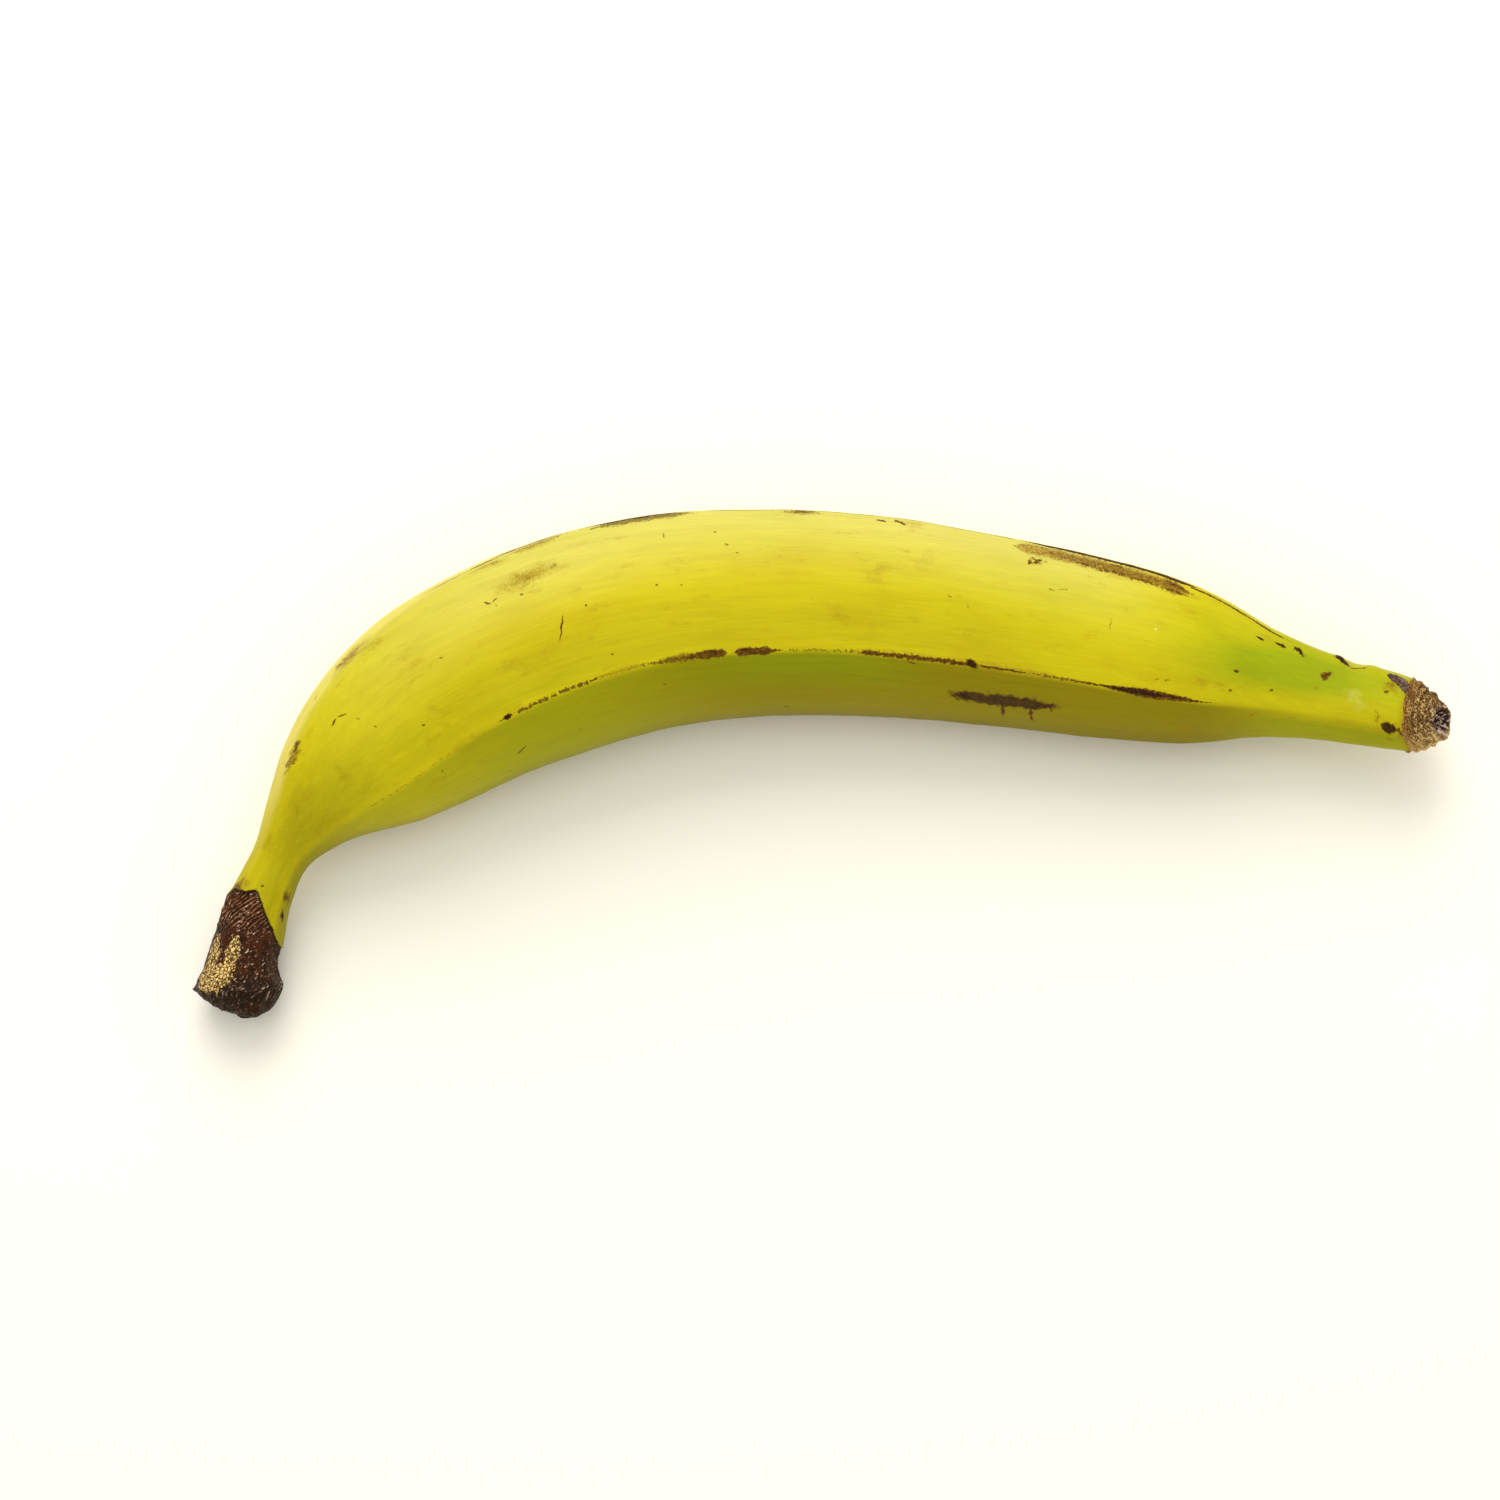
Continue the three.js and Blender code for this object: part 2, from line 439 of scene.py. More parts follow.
@dataclass
class Sight:
    """The view from above: finds the place on the peel that is seen at a point of the plane."""

    grid: SkinGrid
    eye: Vector

    def __post_init__(self) -> None:
        """Projects the skin from the eye onto the plane of the curve."""
        points = self.grid.plain
        eye = np.array(self.eye)
        reach = eye[2] / (eye[2] - points[..., 2])
        self.seen = eye[:2] + (points[..., :2] - eye[:2]) * reach[..., None]
        self.across = self.grid.from_ridge(FLANK_UPPER)
        self.hidden = (self.grid.normals() * (eye - points)).sum(-1) <= 0

    def find(self, x: float, y: float) -> tuple[float, float]:
        """Place on the peel that is seen at (x, y) of the plane.

        Args:
            x: distance along the fruit from the middle of the belly.
            y: distance towards the outer curve.

        Returns:
            The distance along the midline and the distance across from the upper flank ridge.
        """
        gap = np.linalg.norm(self.seen - (x, y), axis=-1) + self.hidden * OUT_OF_SIGHT
        gap[self.grid.share < 1.0] += OUT_OF_SIGHT
        row, column = np.unravel_index(np.argmin(gap), gap.shape)
        row = int(np.clip(row, 1, len(self.grid.along) - 2))
        column = int(np.clip(column, 1, gap.shape[1] - 2))
        by_row = self.seen[row + 1, column] - self.seen[row - 1, column]
        by_column = self.seen[row, column + 1] - self.seen[row, column - 1]
        rest = np.array((x, y)) - self.seen[row, column]
        step = np.linalg.lstsq(np.stack([by_row, by_column], 1), rest, rcond=None)[0]
        step = np.clip(step, -0.5, 0.5)
        along = self.grid.along[row] + step[0] * (self.grid.along[row + 1] - self.grid.along[row - 1])
        slope_row = self.across[row + 1, column] - self.across[row - 1, column]
        slope_column = self.across[row, column + 1] - self.across[row, column - 1]
        across = self.across[row, column] + step[0] * slope_row + step[1] * slope_column
        return float(along), float(across)

    def along_ridge(self, ridge: Ridge, x: float) -> float:
        """Finds a place on a ridge.

        Args:
            ridge: the ridge.
            x: distance along the fruit from the middle of the belly.

        Returns:
            Distance along the midline where the ridge is seen at x.
        """
        column = self.grid.column_of(ridge)
        rows = self.grid.share == 1.0
        return float(np.interp(x, self.seen[rows, column, 0], self.grid.along[rows]))


@dataclass(frozen=True)
class Dent:
    """A bump or dent in the skin at a place seen from above."""

    name: str
    x: float
    y: float
    length: float
    width: float
    depth: float


@dataclass
class SkinRelief:
    """Unevenness of the skin that stands out or sinks in by more than a hair."""

    grid: SkinGrid
    sight: Sight
    stem_edge: Boundary
    crust_edge: Boundary
    belly_wave: float = 0.28
    belly_wave_size: float = 22.0
    peel_pucker: float = 0.06
    stem_shrink: float = 0.35
    stem_lumps: float = 0.55
    wrinkle_depth: float = 0.13
    wrinkle_spacing: float = 1.14
    wrinkle_slant: float = 0.9
    crust_rise: float = 0.2
    crust_grain: float = 0.2
    crust_fold: float = 0.3
    hollow_lumps: float = 0.5
    dents: tuple[Dent, ...] = (
        Dent("notch beside the torn end", -119.9, -81.6, 5.2, 9.0, -1.3),
        Dent("lobe of the torn end", -119.2, -86.2, 2.4, 6.0, 0.5),
        Dent("nick on the back of the tip", 127.3, -11.9, 2.4, 4.5, -1.0),
        Dent("flake on the nick", 123.6, -11.0, 1.5, 2.6, 0.55),
        Dent("lip beyond the nick", 131.4, -12.9, 1.8, 3.0, 0.3),
        Dent("sunken scar by the crust", 137.4, -16.4, 2.8, 1.8, -0.4),
        Dent("sunken oval by the crust", 134.9, -27.0, 2.2, 1.2, -0.35),
        Dent("worn corner of the crust", 144.6, -17.3, 4.0, 6.0, -0.9),
        Dent("lip of the dry skin", -132.0, -65.3, 1.5, 4.0, 0.45),
    )

    def __post_init__(self) -> None:
        """Keeps where each crossing is on the straightened fruit."""
        self.straight = self.grid.straightened()
        self.along = np.broadcast_to(self.grid.along[:, None], self.grid.angle.shape)
        self.share = self.grid.share[:, None]

    def heights(self) -> np.ndarray:
        """Adds up the unevenness of the skin.

        Returns:
            How far each crossing stands out of the plain form.
        """
        straight, along = self.straight, self.along
        near_ends = 1 - smoothstep(along, 20, 60) * (1 - smoothstep(along, 270, 300))
        lift = self.belly_wave * roughness(straight, self.belly_wave_size, 2) * (1 - 0.5 * near_ends)
        lift += self.peel_pucker * roughness(straight, 4.0, 3, seed=7.0)
        lift += self.stem()
        lift += self.crust()
        for dent in self.dents:
            lift += self.dent(dent)
            log.debug("relief: %s", dent.name)
        return np.hstack([lift[:, :-1], lift[:, :1]])

    def stem(self) -> np.ndarray:
        """Relief of the dry stem: shrunken, lumpy and wrinkled aslant, with a fibrous torn end.

        Returns:
            A height for each crossing.
        """
        straight, along = self.straight, self.along
        past = self.stem_edge.past(along, self.grid.angle)
        dry = 1 - smoothstep(past + 0.5 * roughness(straight, 2.5, 3, seed=3.0), -0.5, 0.25)
        dry = np.where(along < STEM_ENDS, dry, 0.0)
        lumps = roughness(straight, 5.0, 4, seed=11.0)
        warp = roughness(straight, 3.5, 2, seed=17.0)
        across = self.grid.from_ridge(FLANK_UPPER)
        phase = (across + self.wrinkle_slant * along) / self.wrinkle_spacing + 0.9 * warp
        wrinkles = np.sin(2 * math.pi * phase) * (0.2 + 0.8 * smoothstep(along, 11, 17))
        stem = -self.stem_shrink + self.stem_lumps * lumps + self.wrinkle_depth * wrinkles
        torn = np.where(along == 0.0, 0.5 * roughness(straight, 1.8, 3, seed=23.0), 0.0)
        rim = hump(along, 0.0, 1.6) * 0.35 * roughness(straight, 2.4, 3, seed=29.0)
        return dry * (stem * smoothstep(self.share, 0.2, 0.9) + torn + rim)

    def crust(self) -> np.ndarray:
        """Relief of the blossom crust: a raised, granular skin folded round its hollow.

        Returns:
            A height for each crossing.
        """
        straight = self.straight
        past = self.crust_edge.past(self.along, self.grid.angle)
        edge = past + 0.6 * roughness(straight, 2.6, 3, seed=31.0)
        crusted = np.where(self.along > CRUST_STARTS, smoothstep(edge, -0.3, 0.5), 0.0)
        grain = roughness(straight, 1.3, 3, seed=37.0)
        folds = np.sin(2 * math.pi * (edge / 2.1 + 0.5 * roughness(straight, 5.0, 2, seed=41.0)))
        swelling = self.crust_rise + self.crust_grain * grain + self.crust_fold * folds
        inside = 1 - smoothstep(self.share, 0.35, 0.95)
        lumps = self.hollow_lumps * inside * roughness(straight, 1.1, 2, seed=43.0)
        return crusted * (swelling + lumps)

    def dent(self, dent: Dent) -> np.ndarray:
        """Shapes one bump or dent.

        Args:
            dent: the bump or dent.

        Returns:
            Its height at each crossing.
        """
        along, across = self.sight.find(dent.x, dent.y)
        by_along = (self.grid.along[:, None] - along) / dent.length
        by_across = (self.sight.across - across) / dent.width
        on_peel = smoothstep(self.grid.share, 0.7, 1.0)[:, None]
        return dent.depth * np.exp(-(by_along**2) - by_across**2) * on_peel


# ---- Nodes ----

MIX_SHARE = 0  # a mix node's inputs, by number
MIX_NUMBERS = (2, 3)
MIX_COLOURS = (6, 7)
MIXED_COLOUR = 2  # and the output that holds its colour


@dataclass(frozen=True)
class Wire:
    """What a node puts out. Arithmetic on wires adds the math nodes for it."""

    tree: Tree
    socket: Socket

    def __add__(self, other: Value) -> Wire:
        """Sum of the two."""
        return self.tree.math("ADD", self, other)

    def __sub__(self, other: Value) -> Wire:
        """Difference of the two."""
        return self.tree.math("SUBTRACT", self, other)

    def __rsub__(self, other: Value) -> Wire:
        """Difference of a number and this."""
        return self.tree.math("SUBTRACT", other, self)

    def __mul__(self, other: Value) -> Wire:
        """Product of the two, part by part for a vector."""
        return self.tree.math("MULTIPLY", self, other)

    def __truediv__(self, other: Value) -> Wire:
        """Quotient of the two."""
        return self.tree.math("DIVIDE", self, other)

    def __rtruediv__(self, other: Value) -> Wire:
        """Quotient of a number and this."""
        return self.tree.math("DIVIDE", other, self)

    def __or__(self, other: Value) -> Wire:
        """The stronger of two masks."""
        return self.tree.math("MAXIMUM", self, other)

    def held(self) -> Wire:
        """The number kept between 0 and 1."""
        return self.tree.math("MINIMUM", self | 0.0, 1.0)

    def step(self, low: Value, high: Value) -> Wire:
        """Smooth step from 0 at low to 1 at high."""
        values = {"Value": self, "From Min": low, "From Max": high}
        return self.tree.made("MapRange", values, "Result", interpolation_type="SMOOTHSTEP", clamp=False)

    def spread(self, low: Value, high: Value) -> Wire:
        """The number from 0 to 1 laid out from low to high."""
        values = {"Value": self, "To Min": low, "To Max": high}
        return self.tree.made("MapRange", values, "Result", clamp=False)

    def mix(self, a: Value, b: Value) -> Wire:
        """Colour that is a where this is 0 and b where it is 1."""
        return self.tree.mixed(self, (a, b), "MIX")

    def between(self, a: Value, b: Value) -> Wire:
        """Number that is a where this is 0 and b where it is 1."""
        values = {MIX_SHARE: self, **dict(zip(MIX_NUMBERS, (a, b)))}
        return self.tree.made("Mix", values, data_type="FLOAT")

    def dimmed(self, tone: Wire) -> Wire:
        """The colour multiplied with a tone."""
        return self.tree.mixed(1.0, (self, self.tree.combine(tone, tone, tone)), "MULTIPLY")

    def noise(self, size: float, detail: float = 2.0, rough: float = 0.5) -> Wire:
        """Noise from 0 to 1 at the place, with lumps of a size."""
        values = {"Vector": self, "Scale": 1.0 / size, "Detail": detail, "Roughness": rough}
        return self.tree.made("TexNoise", values, "Fac")

    def cells(self, size: float, feature: str = "F1") -> Wire:
        """Distance at the place, in random cells of a size."""
        values = {"Vector": self, "Scale": 1.0 / size}
        return self.tree.made("TexVoronoi", values, "Distance", feature=feature)


class Tree:
    """A node tree, with short calls for the nodes that the finishes are made of."""

    def __init__(self, tree: bpy.types.NodeTree) -> None:
        """Works on a tree that exists."""
        self.tree = tree

    def feed(self, socket: Socket, value: Value) -> None:
        """Links a socket to a wire, or sets its value.

        Args:
            socket: the input.
            value: a wire, a number, or the numbers of a vector or colour.
        """
        if isinstance(value, Wire):
            self.tree.links.new(value.socket, socket)
        elif isinstance(value, tuple) and socket.type == "RGBA":
            socket.default_value = (*value, 1.0)
        else:
            socket.default_value = value

    def made(self, kind: str, values: dict, output: str | int = 0, **settings: Any) -> Wire:
        """Adds a node and feeds it.

        Args:
            kind: kind of shader node.
            values: what goes to its inputs, by their name or number.
            output: name or number of the output that is wanted.
            settings: what is set on it.

        Returns:
            That output.
        """
        node = self.tree.nodes.new(f"ShaderNode{kind}")
        for name, value in settings.items():
            setattr(node, name, value)
        for key, value in values.items():
            self.feed(node.inputs[key], value)
        return Wire(self, node.outputs[output])

    def math(self, operation: str, a: Value, b: Value = 0.0) -> Wire:
        """Arithmetic on two numbers, or on two vectors if the second is a tuple."""
        kind = "VectorMath" if isinstance(b, tuple) else "Math"
        return self.made(kind, {0: a, 1: b}, operation=operation)

    def mixed(self, share: Value, colours: tuple[Value, Value], blend: str) -> Wire:
        """A share of the second colour blended over the first."""
        values = {MIX_SHARE: share, **dict(zip(MIX_COLOURS, colours))}
        return self.made("Mix", values, MIXED_COLOUR, data_type="RGBA", blend_type=blend)

    def combine(self, x: Value, y: Value, z: Value = 0.0) -> Wire:
        """A vector of three numbers."""
        return self.made("CombineXYZ", {0: x, 1: y, 2: z})

    def separate(self, vector: Wire) -> tuple[Wire, ...]:
        """The three numbers of a vector."""
        node = self.made("SeparateXYZ", {0: vector}).socket.node
        return tuple(Wire(self, socket) for socket in node.outputs)

    def place(self, effect: Effect, label: str = "", **values: Value) -> Wire:
        """Places an effect.

        Args:
            effect: the effect.
            label: what the node is called.
            values: what goes to its inputs, by their names in small letters.

        Returns:
            The effect's mask.
        """
        inputs = {name.replace("_", " ").capitalize(): value for name, value in values.items()}
        return self.made("Group", inputs, "Mask", node_tree=effect.group, label=label)


class Effect:
    """A node group that makes a mask. It is built once and placed in many spots with its own values."""

    name: str
    vectors: tuple[str, ...] = ()
    numbers: tuple[str, ...] = ()

    def __init__(self) -> None:
        """Makes the group, its sockets and its nodes."""
        self.group = bpy.data.node_groups.new(self.name, "ShaderNodeTree")
        sockets = self.group.interface
        kinds = [(name, "NodeSocketVector") for name in self.vectors]
        kinds += [(name, "NodeSocketFloat") for name in self.numbers]
        for name, kind in kinds:
            sockets.new_socket(name, in_out="INPUT", socket_type=kind)
        sockets.new_socket("Mask", in_out="OUTPUT", socket_type="NodeSocketFloat")
        tree = Tree(self.group)
        given = self.group.nodes.new("NodeGroupInput").outputs
        mask = self.draw(tree, {name: Wire(tree, given[name]) for name, _ in kinds})
        tree.feed(self.group.nodes.new("NodeGroupOutput").inputs["Mask"], mask)

    def draw(self, tree: Tree, given: dict[str, Wire]) -> Wire:
        """Makes the nodes.

        Args:
            tree: the group's tree.
            given: the group's inputs by name.

        Returns:
            The mask.
        """
        raise NotImplementedError


class MarkEffect(Effect):
    """An oval or a line on the peel, with a ragged edge."""

    name = "mark on the peel"
    numbers = (
        "Along", "Across", "Shake along", "Shake across", "Centre along", "Centre across",
        "Half length", "Half width", "Heading", "Ragged", "Softness",
    )

    def draw(self, tree: Tree, given: dict[str, Wire]) -> Wire:
        """Shakes the distance from the centre, in the oval's own axes, and cuts it at 1.

        Args:
            tree: the group's tree.
            given: the group's inputs by name.

        Returns:
            The mask.
        """
        offsets = [
            given[f"Shake {side}"] * given["Ragged"] + given[side.capitalize()] - given[f"Centre {side}"]
            for side in ("along", "across")
        ]
        cosine = tree.math("COSINE", given["Heading"])
        sine = tree.math("SINE", given["Heading"])
        back = sine * -1.0
        lengthwise = self.share(offsets, (cosine, sine), given["Half length"])
        sideways = self.share(offsets, (back, cosine), given["Half width"])
        distance = tree.math("SQRT", lengthwise + sideways)
        return 1.0 - distance.step(1.0 - given["Softness"], 1.0)

    @staticmethod
    def share(offsets: list[Wire], axis: tuple[Wire, Wire], reach: Wire) -> Wire:
        """Measures offsets along an axis.

        Args:
            offsets: how far a place is from the centre, along the fruit and across it.
            axis: the axis, as its part along the fruit and its part across it.
            reach: what counts as 1.

        Returns:
            Square of how far the offsets go along the axis.
        """
        parts = [offset * part for offset, part in zip(offsets, axis)]
        far = (parts[0] + parts[1]) / reach
        return far * far


class StreakEffect(Effect):
    """A bruised stretch of a ridge, tapered at its ends and broken here and there."""

    name = "streak on a ridge"
    gap_edge = 0.08
    numbers = (
        "Along", "Across", "Slow", "Fine", "Broken", "Start", "End", "Rise", "Fall",
        "Offset", "Half width", "Ragged", "Gaps", "Fray", "Softness",
    )

    def draw(self, tree: Tree, given: dict[str, Wire]) -> Wire:
        """Lets a width rise and fall along the ridge, and cuts the distance from the ridge at it.

        Args:
            tree: the group's tree.
            given: the group's inputs by name.

        Returns:
            The mask.
        """
        risen = given["Start"] + given["Rise"]
        falls = given["End"] - given["Fall"]
        rising = given["Along"].step(given["Start"], risen)
        stretch = rising * (1.0 - given["Along"].step(falls, given["End"]))
        swing = given["Slow"] * given["Ragged"]
        width = given["Half width"] * (swing + 1.0) * stretch
        shake = given["Fine"] * given["Fray"]
        distance = tree.math("ABSOLUTE", given["Across"] - given["Offset"]) + shake
        inside = 1.0 - distance.step(width * (1.0 - given["Softness"]), width)
        whole = given["Broken"].step(given["Gaps"] - self.gap_edge, given["Gaps"])
        return inside * tree.math("GREATER_THAN", stretch, 0.001) * whole


class FibreEffect(Effect):
    """Fine lines that run along the fruit, from 0 to 1."""

    name = "fibres along the fruit"
    wide_share = 0.45
    vectors = ("Straight",)

    def draw(self, tree: Tree, given: dict[str, Wire]) -> Wire:
        """Mixes two sizes of noise drawn out along the fruit.

        Args:
            tree: the group's tree.
            given: the group's inputs by name.

        Returns:
            The lines, from 0 to 1.
        """
        drawn = given["Straight"] * (0.06, 1.0, 1.0)
        fine = drawn.noise(0.55, 2.0, 0.6)
        wide = drawn.noise(1.9)
        return fine + (wide - fine) * self.wide_share


class SpeckEffect(Effect):
    """Random specks: a few small dots on the peel."""

    name = "specks"
    vectors = ("Straight",)
    numbers = ("Spacing", "Radius", "Share")

    def draw(self, tree: Tree, given: dict[str, Wire]) -> Wire:
        """Puts a dot in a share of random cells.

        Args:
            tree: the group's tree.
            given: the group's inputs by name.

        Returns:
            The mask.
        """
        scale = 1.0 / given["Spacing"]
        distance = tree.made("TexVoronoi", {"Vector": given["Straight"], "Scale": scale}, "Distance")
        lot, size, _ = tree.separate(Wire(tree, distance.socket.node.outputs["Color"]))
        radius = given["Radius"] / given["Spacing"] * size.spread(0.35, 1.0)
        dot = 1.0 - distance.step(radius * 0.55, radius)
        return dot * tree.math("LESS_THAN", lot, given["Share"])


# ---- Marks ----


class Stain(Enum):
    """What a mark looks like."""

    DARK = "dark"
    BROWN = "brown"
    TAN = "tan"
    SMUDGE = "smudge"
    PALE = "pale"
    MAUVE = "mauve"


@dataclass(frozen=True)
class Mark:
    """An oval or a line on the peel, between two ends seen from above."""

    name: str
    start: tuple[float, float]
    end: tuple[float, float]
    width: float
    stain: Stain
    strength: float = 1.0
    ragged: float = 0.4
    softness: float = 0.5


@dataclass(frozen=True)
class Streak:
    """A bruised stretch of a ridge, between two places seen from above."""

    name: str
    ridge: Ridge
    start_x: float
    end_x: float
    half_width: float
    stain: Stain
    strength: float = 1.0
    offset: float = 0.0
    rise: float = 3.0
    fall: float = 3.0
    ragged: float = 1.4
    gaps: float = 0.0
    fray: float = 0.9
    softness: float = 0.4


STREAKS: tuple[Streak, ...] = (
    Streak("green dots on the ridge", FLANK_UPPER, -101.2, -78.2, 0.3, Stain.SMUDGE, 0.8, gaps=0.56),
    Streak(
        "dotted line by the neck", FLANK_UPPER, -66.9, -46.9, 0.6, Stain.BROWN, 0.9,
        offset=0.2, gaps=0.47, fray=2.2, softness=0.6,
    ),
    Streak(
        "faint line", FLANK_UPPER, -48.8, -34.0, 0.5, Stain.SMUDGE, 0.9,
        offset=0.3, gaps=0.36, fray=2.0, softness=0.6,
    ),
    Streak(
        "start of the first bruise", FLANK_UPPER, -37.3, -19.8, 1.4, Stain.BROWN, 0.85,
        rise=10.0, fall=6.0, fray=2.4, softness=0.8,
    ),
    Streak(
        "first thick bruise", FLANK_UPPER, -29.9, -17.0, 1.3, Stain.BROWN, 1.0,
        rise=9.0, fall=1.4, fray=1.4, softness=0.45,
    ),
    Streak(
        "heart of the first bruise", FLANK_UPPER, -25.8, -17.5, 0.6, Stain.DARK, 0.55,
        offset=0.6, rise=5.0, fall=1.4, gaps=0.4,
    ),
    Streak(
        "second thick bruise", FLANK_UPPER, -15.9, -4.1, 1.2, Stain.BROWN, 1.0,
        rise=1.6, fall=5.0, fray=1.5, softness=0.45,
    ),
    Streak(
        "heart of the second bruise", FLANK_UPPER, -14.7, -8.3, 0.45, Stain.DARK, 0.5,
        offset=0.5, rise=2.0, fall=5.0, gaps=0.44,
    ),
    Streak(
        "dots on the middle", FLANK_UPPER, -4.1, 13.8, 0.45, Stain.BROWN, 0.6,
        gaps=0.52, fray=2.0, softness=0.6,
    ),
    Streak(
        "halo of the long line", FLANK_UPPER, 9.9, 65.1, 1.3, Stain.TAN, 0.55,
        offset=0.1, rise=4.0, fall=12.0, fray=3.0, softness=1.0,
    ),
    Streak(
        "line past the middle", FLANK_UPPER, 12.9, 40.7, 0.7, Stain.BROWN, 1.0,
        rise=2.0, fall=4.0, gaps=0.36, fray=2.0, softness=0.5,
    ),
    Streak(
        "thin line after the blob", FLANK_UPPER, 40.0, 53.8, 0.3, Stain.BROWN, 0.95,
        rise=2.0, fall=6.0, gaps=0.36,
    ),
    Streak("dots past the line", FLANK_UPPER, 52.4, 66.2, 0.4, Stain.BROWN, 0.75, gaps=0.48, fray=1.6),
    Streak("thin start of the wedge", FLANK_UPPER, 60.3, 69.5, 0.35, Stain.BROWN, 0.9, rise=5.0, fall=2.0),
    Streak(
        "wedge", FLANK_UPPER, 64.9, 95.9, 1.3, Stain.BROWN, 1.0,
        rise=14.0, fall=16.0, ragged=0.8, fray=1.2,
    ),
    Streak(
        "heart of the wedge", FLANK_UPPER, 68.1, 90.6, 0.95, Stain.DARK, 0.95,
        offset=0.1, rise=9.0, fall=16.0, ragged=0.8, gaps=0.36, fray=1.4,
    ),
    Streak(
        "orange start of the dark line", BACK_UPPER, -69.0, -53.4, 2.6, Stain.TAN, 0.9,
        offset=0.6, rise=6.0, fall=6.0, fray=3.0, softness=0.9,
    ),
    Streak(
        "brown start of the dark line", BACK_UPPER, -72.7, -52.0, 1.1, Stain.BROWN, 0.95,
        offset=3.6, rise=5.0, fall=5.0, fray=1.6, softness=0.6,
    ),
    Streak(
        "brown under the dark line", BACK_UPPER, -49.7, -23.5, 1.7, Stain.BROWN, 0.8,
        offset=-0.9, rise=7.0, fall=7.0, fray=3.0, softness=0.8,
    ),
    Streak(
        "dark line on the back", BACK_UPPER, -51.5, -22.3, 1.1, Stain.DARK, 0.95,
        offset=0.4, rise=6.0, fall=12.0, fray=1.4, softness=0.5,
    ),
    Streak(
        "thin line along the back", BACK_UPPER, -22.5, 50.6, 0.24, Stain.BROWN, 0.6,
        offset=-0.2, gaps=0.38,
    ),
    Streak(
        "brown patch on the back", BACK_UPPER, -5.1, 5.1, 1.7, Stain.TAN, 0.9,
        offset=-1.4, rise=4.0, fall=4.0, fray=3.0, softness=0.8,
    ),
    Streak(
        "brown dots of the patch", BACK_UPPER, -4.1, 3.7, 1.1, Stain.BROWN, 0.8,
        offset=-0.9, gaps=0.46, fray=2.4,
    ),
    Streak(
        "scuff by the black line", BACK_UPPER, 48.5, 90.6, 2.7, Stain.TAN, 1.0,
        offset=-3.2, rise=3.0, fall=5.0, ragged=0.7, fray=3.0, softness=0.5,
    ),
    Streak(
        "brown of the scuff", BACK_UPPER, 54.7, 89.7, 1.9, Stain.BROWN, 0.5,
        offset=-3.2, rise=4.0, fall=6.0, gaps=0.36, fray=3.0, softness=0.8,
    ),
    Streak(
        "brown edge of the scuff", BACK_UPPER, 62.6, 89.7, 0.8, Stain.BROWN, 0.85,
        offset=-4.4, gaps=0.42, fray=2.4, softness=0.7,
    ),
    Streak(
        "black line by the tip", BACK_UPPER, 49.7, 92.0, 0.8, Stain.DARK, 1.0,
        offset=-0.3, rise=8.0, fall=5.0, ragged=0.7,
    ),
    Streak(
        "line down to the tip", BACK_UPPER, 89.2, 114.1, 0.36, Stain.BROWN, 1.0,
        offset=-1.0, rise=1.0, fall=8.0, gaps=0.3,
    ),
    # Painted highlight: a pale band past the back ridge by the tip, where the light from behind catches the
    # peel.
    Streak(
        "pale side beyond that line", BACK_UPPER, 86.9, 114.5, 1.3, Stain.PALE, 0.5,
        offset=0.7, rise=8.0, fall=8.0, ragged=0.4, fray=0.6, softness=1.0,
    ),
)

